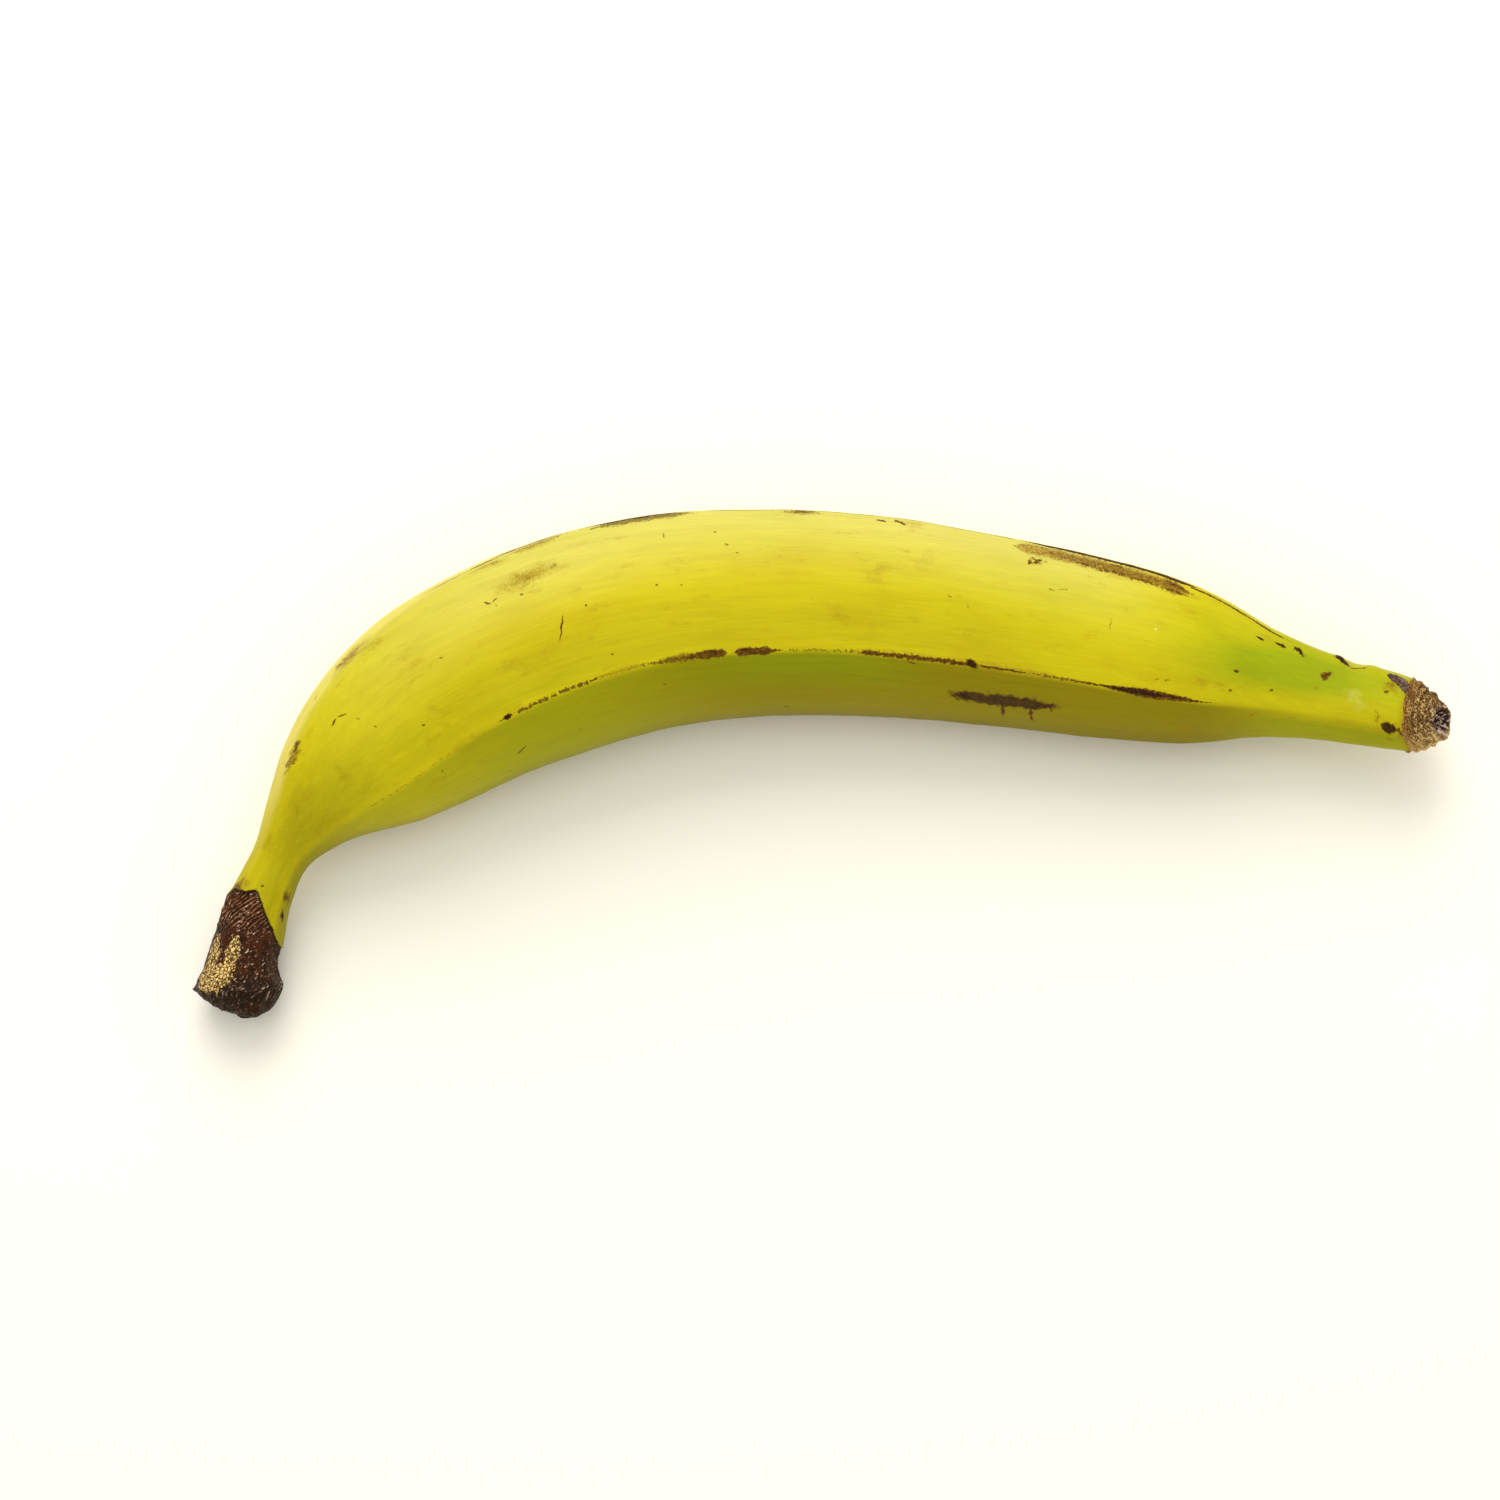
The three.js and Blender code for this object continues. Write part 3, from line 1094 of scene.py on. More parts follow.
# Name, x and y of both ends, width, and strength, raggedness and softness where they are set.
MARK_ROWS: dict[Stain, tuple] = {
    Stain.SMUDGE: (
        ("blush round the smear", 35.4, -19.8, 57.0, -22.1, 6.4, 0.9, 1.8, 1.0),
        ("smudge on the shoulder", -69.9, 5.1, -57.0, 10.3, 7.8, 1.0, 1.6, 1.0),
        ("second scratch on the inner face", -51.8, -28.1, -50.4, -26.5, 0.6, 0.8, 0.3),
        ("flecks on the inner face", -75.2, -35.4, -72.2, -34.3, 0.9, 0.8, 1.6, 0.8),
        ("fleck past it", -102.6, -24.5, -101.7, -24.7, 0.6, 1.0, 0.6),
        ("blush past that scuff", -100.7, -9.0, -98.0, -6.9, 5.1, 0.7, 2.4, 1.0),
        ("dull patch on the middle", 7.4, 0.7, 9.4, -2.1, 4.6, 0.32, 3.0, 1.0),
        ("upright smudge", 71.1, -1.6, 70.8, -4.6, 0.5, 1.0, 0.4),
        ("first pale fleck", 57.0, 5.3, 58.2, 4.8, 0.5, 1.0, 0.5),
        ("second pale fleck", 58.9, 4.8, 61.2, 5.1, 0.5, 1.0, 0.5),
        ("fleck above the wedge", 81.0, -15.9, 82.3, -15.6, 0.5, 1.0, 0.5),
        ("second fleck above the wedge", 83.3, -16.0, 84.4, -15.9, 0.5, 1.0, 0.5),
        ("pale dot", 117.9, -17.7, 118.5, -17.7, 0.8, 0.9, 0.3),
        ("olive below the scar", 134.1, -16.8, 137.1, -18.4, 3.9, 1.0, 2.0, 1.0),
        ("dot under the oval", 134.6, -29.4, 135.5, -29.7, 0.9, 1.0, 0.6),
        ("flecks under the ridge", 102.1, -24.6, 104.9, -23.0, 0.8, 1.0, 1.2, 0.8),
        ("flecks on the crease", 111.1, -24.4, 114.1, -24.7, 0.7, 1.0, 1.2, 0.8),
    ),
    Stain.PALE: (
        ("bright fleck", 81.0, -4.1, 81.4, -4.1, 0.8, 1.0, 0.5),
        ("whitish bloom", 126.0, -18.6, 128.8, -21.9, 4.1, 0.28, 2.0, 1.0),
    ),
    Stain.TAN: (
        ("brown in the smudge", -68.5, 5.3, -60.3, 8.7, 3.7, 0.45, 2.0, 1.0),
        ("dot on the shoulder", -83.3, -10.8, -82.8, -10.8, 0.8, 1.0, 0.3),
        ("scuff on the bend", -106.7, -13.6, -101.2, -7.4, 7.4, 0.85, 1.8, 0.9),
        ("scuff above the neck", -118.1, -35.6, -116.2, -30.6, 3.0, 0.9, 2.2, 0.9),
        ("fringe above the stem", -130.9, -63.9, -128.3, -63.0, 4.8, 1.0, 2.6, 0.9),
        ("tan patch on the middle", 14.7, 7.8, 19.3, 8.7, 5.1, 0.3, 3.0, 1.0),
        ("second tan patch", 26.5, 9.2, 30.1, 13.3, 5.1, 0.22, 3.0, 1.0),
        ("patch by the flank ridge", -66.2, -12.0, -61.6, -14.0, 3.7, 0.22, 3.0, 1.0),
        ("first patch by the dotted line", -68.5, -13.1, -65.8, -11.3, 5.1, 0.22, 3.0, 1.0),
        ("second patch by the dotted line", -59.6, -10.1, -57.0, -8.5, 4.6, 0.2, 3.0, 1.0),
        ("tan under that line", -75.9, 9.0, -67.6, 12.2, 3.2, 0.8, 1.6, 1.0),
        ("stain at the nick", 124.4, -12.2, 127.0, -13.1, 0.9, 0.85, 1.0, 0.8),
    ),
    Stain.BROWN: (
        ("tail of the spot", -69.9, -25.5, -68.5, -24.8, 0.6, 0.8),
        ("spur under the line", 24.6, -11.6, 25.8, -12.2, 0.7, 0.9),
        ("start of the smear", 34.0, -19.1, 38.2, -19.6, 2.5, 1.0, 1.3, 0.6),
        ("end of the smear", 54.3, -21.9, 58.7, -22.3, 2.3, 1.0, 1.3, 0.6),
        ("first drip", 46.1, -21.4, 46.2, -24.4, 1.0, 1.0, 0.5),
        ("second drip", 52.6, -21.9, 52.8, -25.5, 1.1, 1.0, 0.5),
        ("third drip", 57.0, -21.9, 57.2, -23.5, 0.7, 0.9, 0.5),
        ("brown past the smudge", -58.2, 9.9, -56.1, 11.3, 1.2, 0.55, 1.4, 0.9),
        ("first fleck under the smudge", -73.1, 1.8, -71.8, 1.8, 0.6, 0.9, 0.5),
        ("second fleck under the smudge", -71.3, 2.3, -69.9, 3.0, 0.6, 0.9, 0.5),
        ("upright scratch", -55.0, -0.2, -55.7, -7.6, 0.6, 1.0, 0.3),
        ("dot by the smudge", -64.6, 3.9, -64.3, 3.9, 0.7, 0.8, 0.2),
        ("dot low on the face", -43.8, -9.9, -43.6, -9.9, 0.6, 0.8, 0.2),
        ("fleck on the inner face", -83.0, -36.8, -82.3, -37.3, 0.6, 0.7, 0.5),
        ("curved scratch, lower", -108.3, -26.5, -107.2, -24.7, 0.6, 0.9, 0.3),
        ("curved scratch, upper", -107.0, -24.5, -104.7, -23.7, 0.6, 0.8, 0.3),
        ("second fleck past it", -98.4, -26.3, -98.0, -26.6, 0.7, 0.6, 0.3),
        ("dot below the shoulder", -87.4, -26.2, -86.9, -26.1, 0.7, 0.8, 0.3),
        ("rim of that scuff", -107.4, -13.8, -104.9, -10.6, 2.5, 0.8, 2.4, 0.9),
        ("brown in that scuff", -105.1, -11.5, -101.7, -7.8, 2.8, 0.35, 2.6, 0.9),
        ("top of the neck scuff", -116.5, -32.2, -115.9, -30.1, 2.1, 1.0, 1.3, 0.8),
        ("foot of the neck scuff", -118.7, -37.3, -117.5, -33.6, 1.8, 0.8, 2.2, 0.9),
        ("fleck on the bend", -112.2, -20.2, -111.8, -19.6, 0.7, 0.5, 0.8),
        ("dark dot on the neck", -124.4, -63.2, -124.0, -63.2, 0.6, 0.9, 0.3),
        ("stain inside the neck", -119.1, -64.6, -118.0, -67.2, 3.0, 0.9, 1.6, 0.9),
        ("dark stain inside the neck", -119.4, -69.2, -119.6, -71.3, 1.8, 1.0, 0.8),
        ("brown in the fringe", -130.9, -63.9, -129.0, -63.2, 3.5, 1.0, 2.6, 0.9),
        ("first speck on the back", 17.2, 20.9, 19.3, 20.5, 1.0, 1.0, 1.0, 0.4),
        ("second speck on the back", 21.6, 20.6, 23.5, 19.8, 1.4, 1.0, 1.2, 0.4),
        ("speck beside it", -17.6, 15.4, -17.2, 15.3, 0.7, 0.7, 0.3),
        ("third speck", -15.0, 13.6, -14.6, 13.5, 0.6, 0.8, 0.3),
        ("fifth speck", -27.7, 6.2, -27.5, 6.2, 0.6, 0.7, 0.3),
        ("sixth speck", -32.1, 17.7, -31.7, 16.8, 0.5, 0.6, 0.3),
        ("fleck on the inner face, middle", -32.1, -16.8, -31.4, -16.8, 0.7, 0.6, 0.4),
        ("faint fleck", 33.6, 3.5, 34.3, 3.2, 0.6, 0.5, 0.3),
        ("second faint fleck", 38.0, 1.2, 38.6, 0.7, 0.6, 0.45, 0.6),
        ("first brown in the scuff", 70.4, 10.8, 75.0, 9.3, 1.6, 0.95, 1.1, 0.8),
        ("second brown in the scuff", 83.3, 7.0, 88.8, 4.5, 1.8, 1.0, 1.0, 0.7),
        ("flecks below the scuff", 51.8, 12.0, 55.4, 11.3, 2.1, 1.0, 1.9, 0.7),
        ("thin line over the bend", -88.3, 3.2, -75.4, 9.8, 1.8, 0.75, 0.7, 0.8),
        ("brown line up the back", -76.8, 9.2, -69.5, 12.4, 2.1, 1.0, 0.9, 0.7),
        ("large dot on the tip", 99.7, -13.8, 100.1, -13.9, 1.2, 1.0, 0.3),
        ("spot on the tip", 120.1, -15.2, 121.2, -14.5, 2.3, 1.0, 0.9),
        ("dot under the large one", 98.3, -18.2, 98.7, -18.3, 0.7, 0.85, 0.2),
        ("dot further on", 107.8, -18.2, 108.1, -18.2, 0.8, 0.85, 0.2),
        ("dark edge of the nick", 126.0, -12.5, 130.4, -13.0, 0.8, 1.0, 0.5, 0.5),
        ("brown beside the scar", 133.9, -17.5, 136.6, -16.6, 2.5, 0.45, 1.8, 1.0),
        ("dot beside the scar", 134.1, -18.6, 134.7, -18.6, 0.9, 0.85, 0.5),
        ("tail of the oval", 135.9, -26.8, 138.0, -28.2, 1.8, 1.0, 1.0),
        ("brown fringe of the crust", 136.4, -25.5, 137.5, -29.2, 1.6, 0.6, 1.8, 1.0),
        ("brown above the oval", 132.0, -23.5, 132.7, -25.5, 2.1, 0.6, 1.6, 1.0),
    ),
    Stain.MAUVE: (
        ("scar by the crust", 135.7, -15.0, 139.4, -17.0, 3.0, 1.0, 0.9, 0.2),
        ("foot of the scar", 138.0, -16.6, 139.4, -18.6, 2.5, 1.0, 0.9, 0.2),
    ),
    Stain.DARK: (
        ("spot on the flank ridge", -68.3, -24.8, -67.2, -24.2, 1.7, 1.0),
        ("blob on the flank ridge", 38.4, -11.6, 39.9, -12.7, 2.3, 1.0),
        ("length of the smear", 35.9, -19.6, 56.6, -21.9, 5.3, 0.92, 1.2, 0.5),
        ("left of the smear", 35.6, -19.5, 45.5, -20.5, 4.4, 0.92, 1.2, 0.5),
        ("right of the smear", 46.7, -20.9, 56.8, -22.0, 4.1, 0.92, 1.2, 0.5),
        ("dot", -49.8, 1.3, -49.6, 1.3, 0.6, 0.8, 0.2),
        ("scratch on the inner face", -65.7, -33.1, -63.4, -30.8, 0.6, 1.0, 0.2),
        ("dark heart of that stain", -119.4, -69.5, -119.6, -71.1, 0.9, 1.0, 0.3),
        ("dark of the second speck", 22.3, 20.5, 22.8, 19.9, 0.8, 0.9, 0.8, 0.4),
        ("speck on the middle", -20.1, 18.3, -19.9, 18.2, 0.7, 0.8, 0.2),
        ("fourth speck", -33.5, 6.0, -33.2, 6.0, 0.6, 0.8, 0.3),
        ("dark fleck by the inner ridge", -4.4, -22.1, -2.8, -22.1, 0.8, 0.6, 0.4),
        ("dark fleck below the scuff", 54.1, 12.0, 55.0, 11.7, 0.9, 0.9, 0.8, 0.4),
        ("first cut by the tip", 104.7, -5.9, 106.1, -6.8, 0.8, 1.0, 0.3),
        ("second cut by the tip", 108.8, -7.2, 111.1, -8.5, 1.4, 1.0, 0.8),
        ("third cut by the tip", 113.2, -8.6, 115.5, -10.3, 1.6, 1.0, 0.9),
        ("black flake at the nick", 122.8, -10.6, 125.1, -12.0, 2.1, 1.0, 0.8, 0.3),
        ("rim of the scar", 134.8, -14.7, 138.2, -18.2, 0.8, 0.85, 0.8, 0.5),
        ("dark oval", 134.2, -26.8, 135.7, -27.4, 3.2, 0.97, 0.6, 0.3),
    ),
}
MARKS: tuple[Mark, ...] = tuple(
    Mark(name, (x, y), (end_x, end_y), width, stain, *look)
    for stain, rows in MARK_ROWS.items()
    for name, x, y, end_x, end_y, width, *look in rows
)


# ---- Finishes ----


def screen(red: int, green: int, blue: int) -> Colour:
    """Colour of a surface from its screen values.

    Args:
        red: red, 0 to 255.
        green: green, 0 to 255.
        blue: blue, 0 to 255.

    Returns:
        The same colour as linear numbers.
    """
    shares = (value / 255.0 for value in (red, green, blue))
    return tuple(s / 12.92 if s <= 0.04045 else ((s + 0.055) / 1.055) ** 2.4 for s in shares)


@dataclass(frozen=True)
class Surface:
    """What a finish gives at each place: colour, roughness and height of its fine relief."""

    colour: Wire
    roughness: Wire
    height: Wire

    def cover(self, over: Surface, mask: Wire) -> Surface:
        """Lays another surface over this one.

        Args:
            over: the surface on top.
            mask: where it lies.

        Returns:
            The two as one surface.
        """
        return Surface(
            colour=mask.mix(self.colour, over.colour),
            roughness=mask.between(self.roughness, over.roughness),
            height=mask.between(self.height, over.height),
        )


@dataclass(frozen=True)
class Places:
    """Where a place on the skin is, as wires in millimetres."""

    tree: Tree
    straight: Wire
    peel: Wire
    along: Wire
    from_flank: Wire
    from_back: Wire
    from_inner: Wire
    stem_edge: Wire
    crust_edge: Wire
    share: Wire


@dataclass(frozen=True)
class PeelFinish:
    """Waxy peel that turns from green to yellow. By its back it is pale, partly its own paler colour and
    partly a painted highlight, with a painted rim light along the back ridge; on its inner face it is olive,
    partly its own colour and partly painted shade.

    Ramps with along in their name run along the midline, and the others round the peel from a ridge.
    """

    at: Places
    yellow: Colour = screen(202, 187, 14)
    deep_yellow: Colour = screen(200, 170, 6)
    # Paler peel by the back: partly its own colour, partly a painted highlight.
    pale: Colour = screen(208, 197, 92)
    green: Colour = screen(147, 158, 10)
    # Colours of the inner face: partly the peel's own olive, partly painted shade.
    inner: Colour = screen(157, 154, 4)
    inner_olive: Colour = screen(141, 128, 2)
    inner_green: Colour = screen(137, 143, 3)
    soil: Colour = screen(156, 118, 10)
    # Colour of a painted rim light: near-white peel along and past the back ridge.
    rim: Colour = screen(230, 212, 104)
    roughness: float = 0.46
    warm_share: float = 0.45
    soil_share: float = 0.4
    rim_light_share: float = 0.8
    pale_sheen_reach: Ramp = (-25.0, -1.0)
    pale_sheen_rises_along: Ramp = (50.0, 130.0)
    pale_sheen_falls_along: Ramp = (262.0, 226.0)
    rim_light_reach: Ramp = (-1.5, 2.0)
    rim_light_shift: float = -3.4
    rim_light_shifts_along: Ramp = (44.0, 64.0)
    rim_light_rises_along: Ramp = (24.0, 54.0)
    rim_light_falls_along: Ramp = (150.0, 105.0)
    olive_along: Ramp = (108.0, 168.0)
    inner_green_rises_along: Ramp = (130.0, 166.0)
    inner_green_falls_along: Ramp = (208.0, 182.0)
    inner_green_reach: Ramp = (-14.0, -3.0)
    inner_reach: Ramp = (0.3, -1.4)
    inner_rises_along: Ramp = (48.0, 112.0)
    inner_falls_along: Ramp = (264.0, 288.0)
    # Painted shade on the neck, deepest on its side away from the back ridge.
    neck_shade_along: Ramp = (70.0, 38.0)
    neck_shade_reach: Ramp = (-1.0, -6.0)
    neck_shade_tones: Ramp = (-0.06, -0.2)
    # Painted shade on the inner face by the inner ridge.
    inner_ridge_shade_reach: Ramp = (9.0, 0.0)
    inner_ridge_shade_along: Ramp = (296.0, 258.0)
    inner_ridge_shade_tone: float = -0.2
    # Painted shade low on the flank, just above the flank ridge.
    low_shade_fades: Ramp = (19.0, 8.0)
    low_shade_starts: Ramp = (0.5, 3.0)
    low_shade_along: Ramp = (238.0, 196.0)
    low_shade_tone: float = -0.1
    tip_turns_along: Ramp = (246.0, 290.0)
    tip_green: float = 0.88
    tip_green_rises: Ramp = (1.5, 9.5)
    tip_green_falls: Ramp = (10.0, 19.0)
    tip_fades_along: Ramp = (284.0, 304.0)
    tip_green_below: Ramp = (-0.8, -3.5)

    def draw(self) -> Surface:
        """Makes the peel's nodes.

        Returns:
            Its colour, roughness and height.
        """
        at = self.at
        lines = at.tree.place(FibreEffect(), straight=at.straight)
        blotch = (at.straight * (0.35, 1.0, 1.0)).noise(9.0, 3.0, 0.55)
        drift = (at.straight * (0.2, 1.0, 1.0)).noise(26.0)
        colour = (blotch.step(0.42, 0.7) * self.warm_share).mix(self.yellow, self.deep_yellow)
        # Paler by the back on the belly: partly the peel's own paler colour, partly a painted highlight.
        belly = at.along.step(*self.pale_sheen_rises_along) * at.along.step(*self.pale_sheen_falls_along)
        colour = (at.from_back.step(*self.pale_sheen_reach) * belly).mix(colour, self.pale)
        # Painted rim light along and past the back ridge, by the neck and the bend.
        past_neck = at.along.step(*self.rim_light_shifts_along).spread(0.0, self.rim_light_shift)
        by_bend = at.along.step(*self.rim_light_rises_along) * at.along.step(*self.rim_light_falls_along)
        rim = (at.from_back + past_neck).step(*self.rim_light_reach) * by_bend
        colour = (rim * self.rim_light_share).mix(colour, self.rim)
        colour = self.unripe(blotch, drift).mix(colour, self.green)
        # Inner face: its own olive, darkened in part by painted shade.
        colour = self.inner_share().mix(colour, self.inner_colour_and_shade(drift))
        soiled = (at.straight * (0.45, 1.0, 1.0)).noise(4.5, 4.0, 0.7)
        colour = (soiled.step(0.56, 0.76) * self.soil_share).mix(colour, self.soil)
        colour = colour.dimmed(self.tone(lines, drift))
        rough = blotch.spread(-0.05, 0.06) + self.roughness
        return Surface(colour, rough, lines.spread(0.0, 0.03) + blotch.spread(0.0, 0.06))

    def unripe(self, blotch: Wire, drift: Wire) -> Wire:
        """How green the peel is: most between the ridges of the tip.

        Args:
            blotch: noise of middling size.
            drift: noise of large size.

        Returns:
            Share of green.
        """
        at = self.at
        rise = at.from_flank.step(*self.tip_green_rises) * self.tip_green
        fall = at.from_flank.step(*self.tip_green_falls).spread(1.0, 0.4)
        upper = rise * fall * at.along.step(*self.tip_fades_along).spread(1.0, 0.55)
        lower = at.from_flank.step(*self.tip_green_below) * 0.5
        base = at.along.step(*self.tip_turns_along) * (upper + lower + 0.12)
        swing = ((drift - 0.42) + (blotch - 0.5) * 0.8) * (base + 0.55)
        return (base + swing + 0.08).held()

    def inner_share(self) -> Wire:
        """How olive the peel is, partly its own colour and partly painted shade: on the belly's inner face,
        and less by the neck and the tip.

        Returns:
            Share of the inner face's colour.
        """
        by_neck = self.at.along.step(*self.inner_rises_along).spread(0.4, 1.0)
        by_tip = self.at.along.step(*self.inner_falls_along).spread(1.0, 0.3)
        return self.at.from_flank.step(*self.inner_reach) * (by_neck * by_tip)

    def inner_colour_and_shade(self, drift: Wire) -> Wire:
        """Colour of the inner face, partly its own and partly painted shade: olive past the bend, and
        greener in the middle by the ridge.

        Args:
            drift: noise of large size.

        Returns:
            The colour.
        """
        at = self.at
        olive = at.along.step(*self.olive_along).mix(self.inner, self.inner_olive)
        middle = at.along.step(*self.inner_green_rises_along)
        middle = middle * at.along.step(*self.inner_green_falls_along)
        by_ridge = at.from_flank.step(*self.inner_green_reach) + drift.spread(-0.45, 0.3)
        return (middle * by_ridge).held().mix(olive, self.inner_green)

    def tone(self, lines: Wire, drift: Wire) -> Wire:
        """How bright the peel is: darker by painted shade on the neck, by the inner ridge and low on the
        flank.

        Args:
            lines: the fine lines along the fruit.
            drift: noise of large size.

        Returns:
            What the colour is multiplied with.
        """
        at = self.at
        # Painted shade on the neck, deepest on its side away from the back ridge.
        neck = at.along.step(*self.neck_shade_along) * at.from_back.step(*self.neck_shade_reach).spread(*self.neck_shade_tones)
        # Painted shade: darker within 9 mm of the inner ridge, fading out at the tip.
        edge = at.from_inner.step(*self.inner_ridge_shade_reach) * at.along.step(*self.inner_ridge_shade_along) * self.inner_ridge_shade_tone
        # Painted shade low on the flank, just above the flank ridge, fading out towards the tip.
        low = at.from_flank.step(*self.low_shade_fades) * at.from_flank.step(*self.low_shade_starts)
        low = low * at.along.step(*self.low_shade_along)
        tone = lines.spread(0.8, 1.2) + drift.spread(-0.1, 0.1)
        return tone + (neck + edge) + low.spread(0.0, self.low_shade_tone)


def waves(distance: Wire, spacing: float, bent: Wire) -> Wire:
    """Waves that follow a distance, a little bent.

    Args:
        distance: the distance.
        spacing: distance from one wave to the next.
        bent: by how many waves they are off.

    Returns:
        Crests near 1.5 and troughs near -0.5.
    """
    turns = (distance / spacing + bent) * (2.0 * math.pi)
    return distance.tree.math("SINE", turns).spread(0.5, 1.0)


@dataclass(frozen=True)
class DryStemFinish:
    """Dry, ribbed stem, red-brown to black, with tan flaky patches and pale flecks, painted highlights on
    its rib crests and painted glint specks.
    """

    at: Places
    brown: Colour = screen(66, 31, 9)
    dark: Colour = screen(37, 22, 8)
    # Colour of a painted highlight on the rib crests.
    rib_highlight: Colour = screen(166, 112, 76)
    flake: Colour = screen(244, 206, 124)
    flake_gap: Colour = screen(58, 28, 4)
    fleck: Colour = screen(220, 182, 150)
    roughness: float = 0.5
    end_roughness: float = 0.4
    rib_spacing: float = 1.14
    rib_slant: float = 0.9
    end_along: Ramp = (7.0, 1.0)
    ribs_along: Ramp = (12.5, 17.0)
    ribs_reach: Ramp = (-1.0, 8.5)
    rib_crest: Ramp = (0.68, 0.96)
    side_share: Ramp = (0.9, 0.98)
    border: Ramp = (-1.1, -0.3)
    fleck_share: float = 0.85
    # Strength of pale specks painted as glints.
    glint_speck_share: float = 0.28
    border_share: float = 0.8
    gap_share: float = 0.94

    def draw(self, flakes: Wire) -> Surface:
        """Makes the dry stem's nodes.

        Args:
            flakes: mask of the tan flaky patches.

        Returns:
            Its colour, roughness and height.
        """
        at = self.at
        lumps = at.straight.noise(2.6, 4.0, 0.65)
        lower = at.along.step(*self.end_along)
        colour = (lower * 0.6 + lumps.step(0.4, 0.62)).held().mix(self.brown, self.dark)
        slant = at.from_flank + at.along * self.rib_slant
        ribs = waves(slant, self.rib_spacing, at.straight.noise(3.2).spread(-0.9, 0.9))
        # Painted highlight on the rib crests, stronger on the upper side and broken into patches by noise.
        upper = at.along.step(*self.ribs_along) * at.from_flank.step(*self.ribs_reach).spread(0.14, 0.95)
        worn = at.straight.noise(1.2, 3.0, 0.7).step(0.36, 0.56)
        colour = (ribs.step(*self.rib_crest) * worn * upper).mix(colour, self.rib_highlight)
        on_side = at.share.step(*self.side_share)
        colour = self.flecks(slant, on_side).mix(colour, self.fleck)
        colour = (at.stem_edge.step(*self.border) * self.border_share).mix(colour, self.dark)
        gaps = at.straight.cells(0.78, "DISTANCE_TO_EDGE")
        shade = at.straight.noise(1.5, 3.0, 0.7)
        specks = at.straight.noise(0.66, 2.0, 0.6).step(0.5, 0.58)
        gap = (gaps.step(0.14, 0.04) + (shade.step(0.54, 0.7) + specks)).held() * self.gap_share
        flakes = flakes * on_side
        colour = flakes.mix(colour, gap.mix(self.flake, self.flake_gap))
        height = ribs * upper.spread(0.1, 0.36) + lumps.spread(0.0, 0.5)
        height = height + flakes * gaps.spread(0.05, 0.6)
        return Surface(colour, lower.between(self.roughness, self.end_roughness), height)

    def flecks(self, slant: Wire, on_side: Wire) -> Wire:
        """Pale flecks drawn out aslant, and pale specks painted as glints.

        Args:
            slant: distance across the slanted ribs.
            on_side: mask of all but the torn end.

        Returns:
            Their mask.
        """
        at = self.at
        strokes = at.tree.combine(slant * 0.95, at.along * 0.5)
        chance = at.straight.noise(2.4).step(0.4, 0.54) * self.fleck_share
        flecks = strokes.cells(0.66).step(0.28, 0.14) * on_side * chance
        # The flecks, and fine pale specks that are painted glints.
        return flecks | at.straight.noise(0.6, 2.0, 0.6).step(0.56, 0.74) * self.glint_speck_share


@dataclass(frozen=True)
class BlossomCrustFinish:
    """Rough tan crust, wrinkled round the dark hollow that the blossom left, with painted shade in its
    corner by the back ridge.
    """

    at: Places
    tan: Colour = screen(228, 190, 116)
    brown: Colour = screen(92, 56, 18)
    rust: Colour = screen(140, 84, 24)
    crease: Colour = screen(46, 28, 12)
    hollow: Colour = screen(44, 26, 22)
    glint: Colour = screen(224, 196, 172)
    roughness: float = 0.55
    hollow_roughness: float = 0.22
    wrinkle_spacing: float = 1.7
    rust_edge: Ramp = (4.5, 0.4)
    crease_edge: Ramp = (2.0, 4.5)
    crease_share: float = 0.7
    # Painted shade in the crust's corner by the back ridge.
    shaded_corner_edge: Ramp = (3.0, 6.0)
    shaded_corner_reach: Ramp = (-2.0, 3.0)
    fold_and_shade_share: float = 0.55
    hollow_starts: Ramp = (0.8, 0.55)
    glint_starts: Ramp = (0.98, 0.7)
    glint_share: float = 0.75

    def draw(self) -> Surface:
        """Makes the crust's nodes.

        Returns:
            Its colour, roughness and height.
        """
        at = self.at
        grain = at.straight.noise(0.46, 3.0, 0.7)
        folds = at.straight.noise(2.8, 3.0, 0.5)
        lower = at.from_flank.step(1.0, -5.0).spread(-0.02, 0.12)
        colour = (grain + lower).step(0.42, 0.62).mix(self.brown, self.tan)
        rusty = at.crust_edge.step(*self.rust_edge) * grain.spread(0.95, 0.05)
        colour = rusty.mix(colour, self.rust)
        inwards = at.crust_edge + at.share.spread(4.2, 0.0)
        wave = waves(inwards, self.wrinkle_spacing, folds.spread(-1.6, 1.6))
        creased = wave.step(0.6, 0.95) * at.crust_edge.step(*self.crease_edge)
        colour = (creased * self.crease_share).mix(colour, self.crease)
        # Painted shade in the corner by the back ridge, darkened to brown together with the dark folds.
        corner = at.from_back.step(*self.shaded_corner_reach) * at.crust_edge.step(*self.shaded_corner_edge)
        colour = ((folds.step(0.54, 0.7) | corner) * self.fold_and_shade_share).mix(colour, self.brown)
        inside = at.share.step(*self.hollow_starts)
        specks = at.straight.noise(0.6, 2.0, 0.6).step(0.52, 0.6)
        shiny = specks * at.share.step(*self.glint_starts)
        colour = inside.mix(colour, self.hollow)
        colour = (shiny * self.glint_share).mix(colour, self.glint)
        height = grain.spread(0.0, 0.24) + wave.spread(0.4, 0.0)
        return Surface(colour, inside.between(self.roughness, self.hollow_roughness), height)


@dataclass(frozen=True)
class StainFinish:
    """Two colours that one kind of stain is mottled with, and its roughness."""

    colour: Colour
    mottle: Colour
    roughness: float


